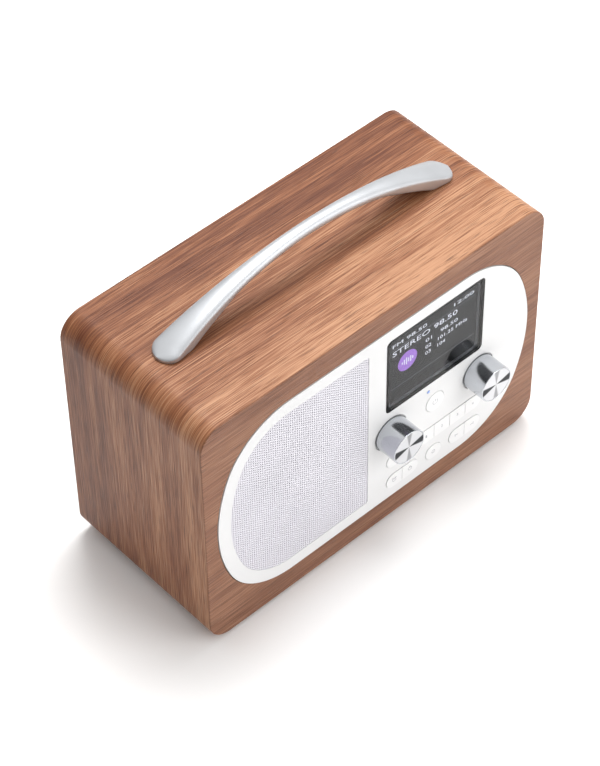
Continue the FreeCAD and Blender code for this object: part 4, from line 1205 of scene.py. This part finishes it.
# ---------------------------------------------------------------- knobs
@dataclass
class Knob(Assembly):
    """A chromed knob with a spun cap on its front."""

    name: str
    edge: float = 0.35
    lip: float = 0.55
    wall: float = 1.4
    hollow: float = 2.5
    cap_radius: float = 9.9
    cap_gap: float = 0.06
    cap_sunk: float = 0.35
    cap_thick: float = 0.5
    cap_dish: float = 0.25
    cap_edge: float = 0.08
    cap_rings: int = 5
    crease_deg: float = 50.0
    sides: int = 128

    def build(self) -> None:
        """Makes the knob's wall and cap."""
        low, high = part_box(self.name)
        x, front, z = face_middle(self.name)
        radius, deep = (high.x - low.x) / 2 / MM, (high.y - low.y) / MM
        wall = new_rod(self.name + "_wall", Axis.Y, (x, front + deep / 2, z), radius, deep, self.sides)
        with editing(wall) as mesh:
            pick_faces(mesh, lambda face: face.normal.y < -FACING)
            bpy.ops.mesh.inset(thickness=(radius - self.cap_radius) * MM)
            bpy.ops.mesh.extrude_region_move(TRANSFORM_OT_translate={"value": (0, self.lip * MM, 0)})
            pick_faces(mesh, lambda face: face.normal.y > FACING and len(face.verts) > 4)
            bpy.ops.mesh.inset(thickness=self.wall * MM)
            bpy.ops.mesh.extrude_region_move(TRANSFORM_OT_translate={"value": (0, -self.hollow * MM, 0)})
        rounded(wall, self.edge, 3, self.crease_deg)
        fit(wall, self.name, self.paints["chrome"], "knob_chrome", self.name)
        cap = new_rod(self.name + "_cap", Axis.Y, (x, front + self.cap_sunk, z),
                      self.cap_radius - self.cap_gap, self.cap_thick, self.sides)
        with editing(cap) as mesh:
            pick_faces(mesh, lambda face: face.normal.y < -FACING)
            for step in range(1, self.cap_rings):
                dish = self.cap_dish * step / (self.cap_rings - 1) ** 2
                bpy.ops.mesh.inset(thickness=self.cap_radius / self.cap_rings * MM)
                bpy.ops.transform.translate(value=(0, dish * MM, 0))
        rounded(cap, self.cap_edge, 2, self.crease_deg)
        # the cap's colour is painted dark in four sectors, a painted reflection
        fit(cap, self.name, SpunCapPaintedSectors(self.name + "_spun_painted_sectors", (x, front, z)).made(), "knob_chrome")


# ---------------------------------------------------------------- handle
@dataclass
class Handle(Assembly):
    """The slim alloy handle: one swept bar that widens into two rounded feet."""

    foot: float = 17.0  # width of a foot
    waist: float = 7.4  # width in the middle
    thick: float = 6.2
    tip: float = 2.0  # height of the feet's ends
    land: float = 80.0  # from the middle to where the underside meets the case
    sides: int = 40
    stations: int = 120
    squareness: float = 2.15  # the section's superellipse power, where 2 is an ellipse
    seat_squareness: float = 6.0  # added under the feet
    settling: float = 30.0  # length over which the underside flattens
    melt: float = 1.4  # how softly the waist's curve runs into the feet's ends
    crease_deg: float = 60.0

    def build(self) -> None:
        """Makes the handle."""
        low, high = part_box("handle")
        half, rise = high.x / MM, (high.z - low.z) / MM
        base, y = low.z / MM, (low.y + high.y) / 2 / MM
        select_only()
        bpy.ops.mesh.primitive_cylinder_add(vertices=self.sides, radius=1.0, depth=2.0,
                                            end_fill_type="NOTHING", rotation=Axis.X.value)
        bar = named(bpy.context.object, "handle_bar")
        settle(bar)
        with editing(bar) as mesh:
            bpy.ops.mesh.select_mode(type="EDGE")
            for edge in mesh.edges:
                edge.select_set(abs(edge.verts[0].co.x - edge.verts[1].co.x) > 1.0)
            bpy.ops.mesh.subdivide(number_cuts=self.stations)
        for vertex in bar.data.vertices:
            place = math.sin(vertex.co.x * math.pi / 2) * half
            wide, floor, top = self.section(place, half, rise)
            belly = top - min(self.thick, top) / 2
            angle = math.atan2(vertex.co.z, vertex.co.y)
            seated = min(1.0, max(0.0, 1.0 + (abs(place) - self.land) / self.settling))
            power = 2 / (self.squareness + (self.seat_squareness * seated if vertex.co.z < 0 else 0.0))
            across = math.copysign(abs(math.cos(angle)) ** power, math.cos(angle))
            up = math.copysign(abs(math.sin(angle)) ** power, math.sin(angle))
            height = belly + up * (top - belly if up > 0 else belly - floor)
            vertex.co = Vector((place, y + wide * across, base + height)) * MM
        weld(bar)
        smooth(bar, self.crease_deg)
        fit(bar, RADIO, self.paints["alloy"], "satin_aluminium", "handle")

    def section(self, place: float, half: float, rise: float) -> Triple:
        """The bar's section at a place along it.

        Args:
            place: distance from the handle's middle, in mm.
            half: half the handle's length, in mm.
            rise: its height, in mm.

        Returns:
            Half its width, its underside and its top, in mm.
        """
        seat = half - self.foot / 2
        hollow = (self.foot - self.waist) / 2
        bow = (seat ** 2 + hollow ** 2) / (2 * hollow)
        waist = self.waist / 2 + bow - math.sqrt(bow ** 2 - place ** 2)
        reach = self.foot / 2 + self.melt / 2
        end = math.sqrt(max(0.0, reach ** 2 - max(0.0, abs(place) - half + reach) ** 2))
        near = max(0.0, self.melt - abs(waist - end))
        wide = max(0.0, min(waist, end) - near ** 2 / (4 * self.melt))
        top = self.arch(place, half, rise, self.tip)
        floor = self.arch(place, self.land, rise - self.thick, 0.0) if abs(place) < self.land else 0.0
        return wide, floor, top

    @staticmethod
    def arch(place: float, half: float, crown: float, foot: float) -> float:
        """Height of a round arch at a place along it.

        Args:
            place: distance from its middle, in mm.
            half: half its span, in mm.
            crown: its height in the middle, in mm.
            foot: its height at its ends, in mm.

        Returns:
            The height, in mm.
        """
        rise = crown - foot
        radius = (half ** 2 + rise ** 2) / (2 * rise)
        return crown - radius + math.sqrt(radius ** 2 - place ** 2)


# ---------------------------------------------------------------- back
@dataclass
class Back(Assembly):
    """The black back panel with its door, sockets and folded antenna."""

    edge: float = 0.4

    def build(self) -> None:
        """Makes the back's pieces."""
        for node, name, body in (("back_panel", "rear_panel", RADIO),
                                 ("battery_door", "rear_door", "battery_door")):
            piece = copy_of(node, name)
            rounded(piece, self.edge, 2)
            fit(piece, body, self.paints["black"], "black_moulding", node)
        self.dress("black", "battery_bay")
        self.dress("sleeve", "battery_pack")
        self.dress("socket", "dc_inlet", "headphone_socket", "aux_socket", "service_socket")
        self.dress("antenna", "antenna_base", "antenna_knuckle", "antenna_pin",
              *[f"antenna_tube_{n}" for n in range(1, 6)])
        self.dress("screw", "back_screws")


@dataclass
class Insides(Assembly):
    """What stands behind the front and inside the case."""

    finishes: tuple = (
        ("board", ("control_board", "main_board")),
        ("black", ("key_switches", "select_plunger")),
        ("steel", ("volume_shaft", "select_shaft", "speaker_top_plate", "speaker_yoke", "handle_screws",
                   "small_screws")),
        ("encoder", ("volume_encoder", "select_encoder")),
        ("basket", ("speaker_basket",)),
        ("ferrite", ("speaker_magnet",)),
        ("copper", ("voice_coil",)),
        ("paper", ("speaker_cone", "dust_cap")),
        ("surround", ("speaker_surround",)),
        ("spider", ("speaker_spider",)),
    )

    def build(self) -> None:
        """Dresses the inner nodes."""
        for finish, nodes in self.finishes:
            self.dress(finish, *nodes)


# ---------------------------------------------------------------- studio
@dataclass
class Studio:
    """Pale floor, soft light and the camera."""

    eye: Triple = (-627.56, -693.75, 1105.95)  # in mm; the turns below are in degrees
    azimuth: float = -41.78
    elevation: float = 47.85
    roll: float = -0.94
    lens: float = 127.1
    sensor: float = 36.0
    floor_side: float = 12.0
    sky: float = 0.88
    bright_way: Triple = (0.35, 0.1, 0.9)
    sky_shades: tuple = ((0.0, 0.15), (0.65, 1.0))
    aim: Triple = (0.0, 0.0, 0.08)
    lights: tuple = (  # name, place and side in metres, and power in watts
        ("key_light", (0.35, 0.3, 1.5), 0.75, 21.0),
        ("fill_light", (0.75, -1.5, 0.9), 1.3, 13.0),
    )

    def build(self) -> None:
        """Makes the studio."""
        self.floor()
        self.world()
        for light in self.lights:
            self.softbox(*light)
        self.camera()

    def floor(self) -> None:
        """A wide pale sheet under the feet."""
        select_only()
        bpy.ops.mesh.primitive_plane_add(size=self.floor_side, location=(0, 0, 0))
        sheet = named(bpy.context.object, "studio_floor")
        paper = Moulding("studio_paper", tone(252, 251, 250), 0.9, 2.0, 0.0, 0.0)
        sheet.data.materials.append(paper.made())

    def world(self) -> None:
        """A white sky that darkens low down and to the left, so that bright metal mirrors some shade."""
        sky = bpy.data.worlds.new("studio_sky")
        sky.use_nodes = True
        tree = sky.node_tree
        shade = next(n for n in tree.nodes if n.type == "BACKGROUND")
        shade.inputs["Strength"].default_value = self.sky
        way = tree.nodes.new("ShaderNodeTexCoord")
        across = tree.nodes.new("ShaderNodeVectorMath")
        across.operation = "DOT_PRODUCT"
        across.inputs[1].default_value = self.bright_way
        ramp = tree.nodes.new("ShaderNodeValToRGB")
        for element, (at, grey) in zip(ramp.color_ramp.elements, self.sky_shades):
            element.position = at
            element.color = (grey, grey, grey, 1.0)
        tree.links.new(way.outputs["Generated"], across.inputs[0])
        tree.links.new(across.outputs["Value"], ramp.inputs["Fac"])
        tree.links.new(ramp.outputs["Color"], shade.inputs["Color"])
        bpy.context.scene.world = sky
        bpy.context.scene.view_settings.view_transform = "Standard"

    def softbox(self, name: str, at: Triple, size: float, power: float) -> None:
        """A square soft light aimed at the radio.

        Args:
            name: the light's name.
            at: where it hangs, in metres.
            size: its side, in metres.
            power: in watts.
        """
        select_only()
        bpy.ops.object.light_add(type="AREA", location=at)
        light = named(bpy.context.object, name)
        light.data.size = size
        light.data.energy = power
        light.rotation_euler = (Vector(at) - Vector(self.aim)).to_track_quat("Z", "Y").to_euler()

    def camera(self) -> None:
        """The camera, looking down at the front and left side."""
        turn, rise, roll = (math.radians(v) for v in (self.azimuth, self.elevation, self.roll))
        back = Vector((math.sin(turn) * math.cos(rise), -math.cos(turn) * math.cos(rise), math.sin(rise)))
        right = Vector((0, 0, 1)).cross(back).normalized()
        up = back.cross(right)
        right, up = (right * math.cos(roll) + up * math.sin(roll),
                     up * math.cos(roll) - right * math.sin(roll))
        select_only()
        bpy.ops.object.camera_add()
        eye = bpy.context.object
        eye.name = "studio_camera"
        eye.data.lens = self.lens
        eye.data.sensor_width = self.sensor
        turned = Matrix((right, up, back)).transposed().to_4x4()
        eye.matrix_world = Matrix.Translation(Vector(self.eye) * MM) @ turned
        bpy.context.scene.camera = eye


def main() -> None:
    """Builds the radio's pieces in order, then the studio."""
    logging.basicConfig(level=logging.INFO, format="%(name)s: %(message)s")
    paints = Paints()
    Case(paints).build()
    Front(paints).build()
    Keys(paints).build()
    for name in ("volume_knob", "select_knob"):
        Knob(paints, name).build()
    Handle(paints).build()
    Back(paints).build()
    Insides(paints).build()
    Studio().build()


if __name__ == "__main__":
    main()
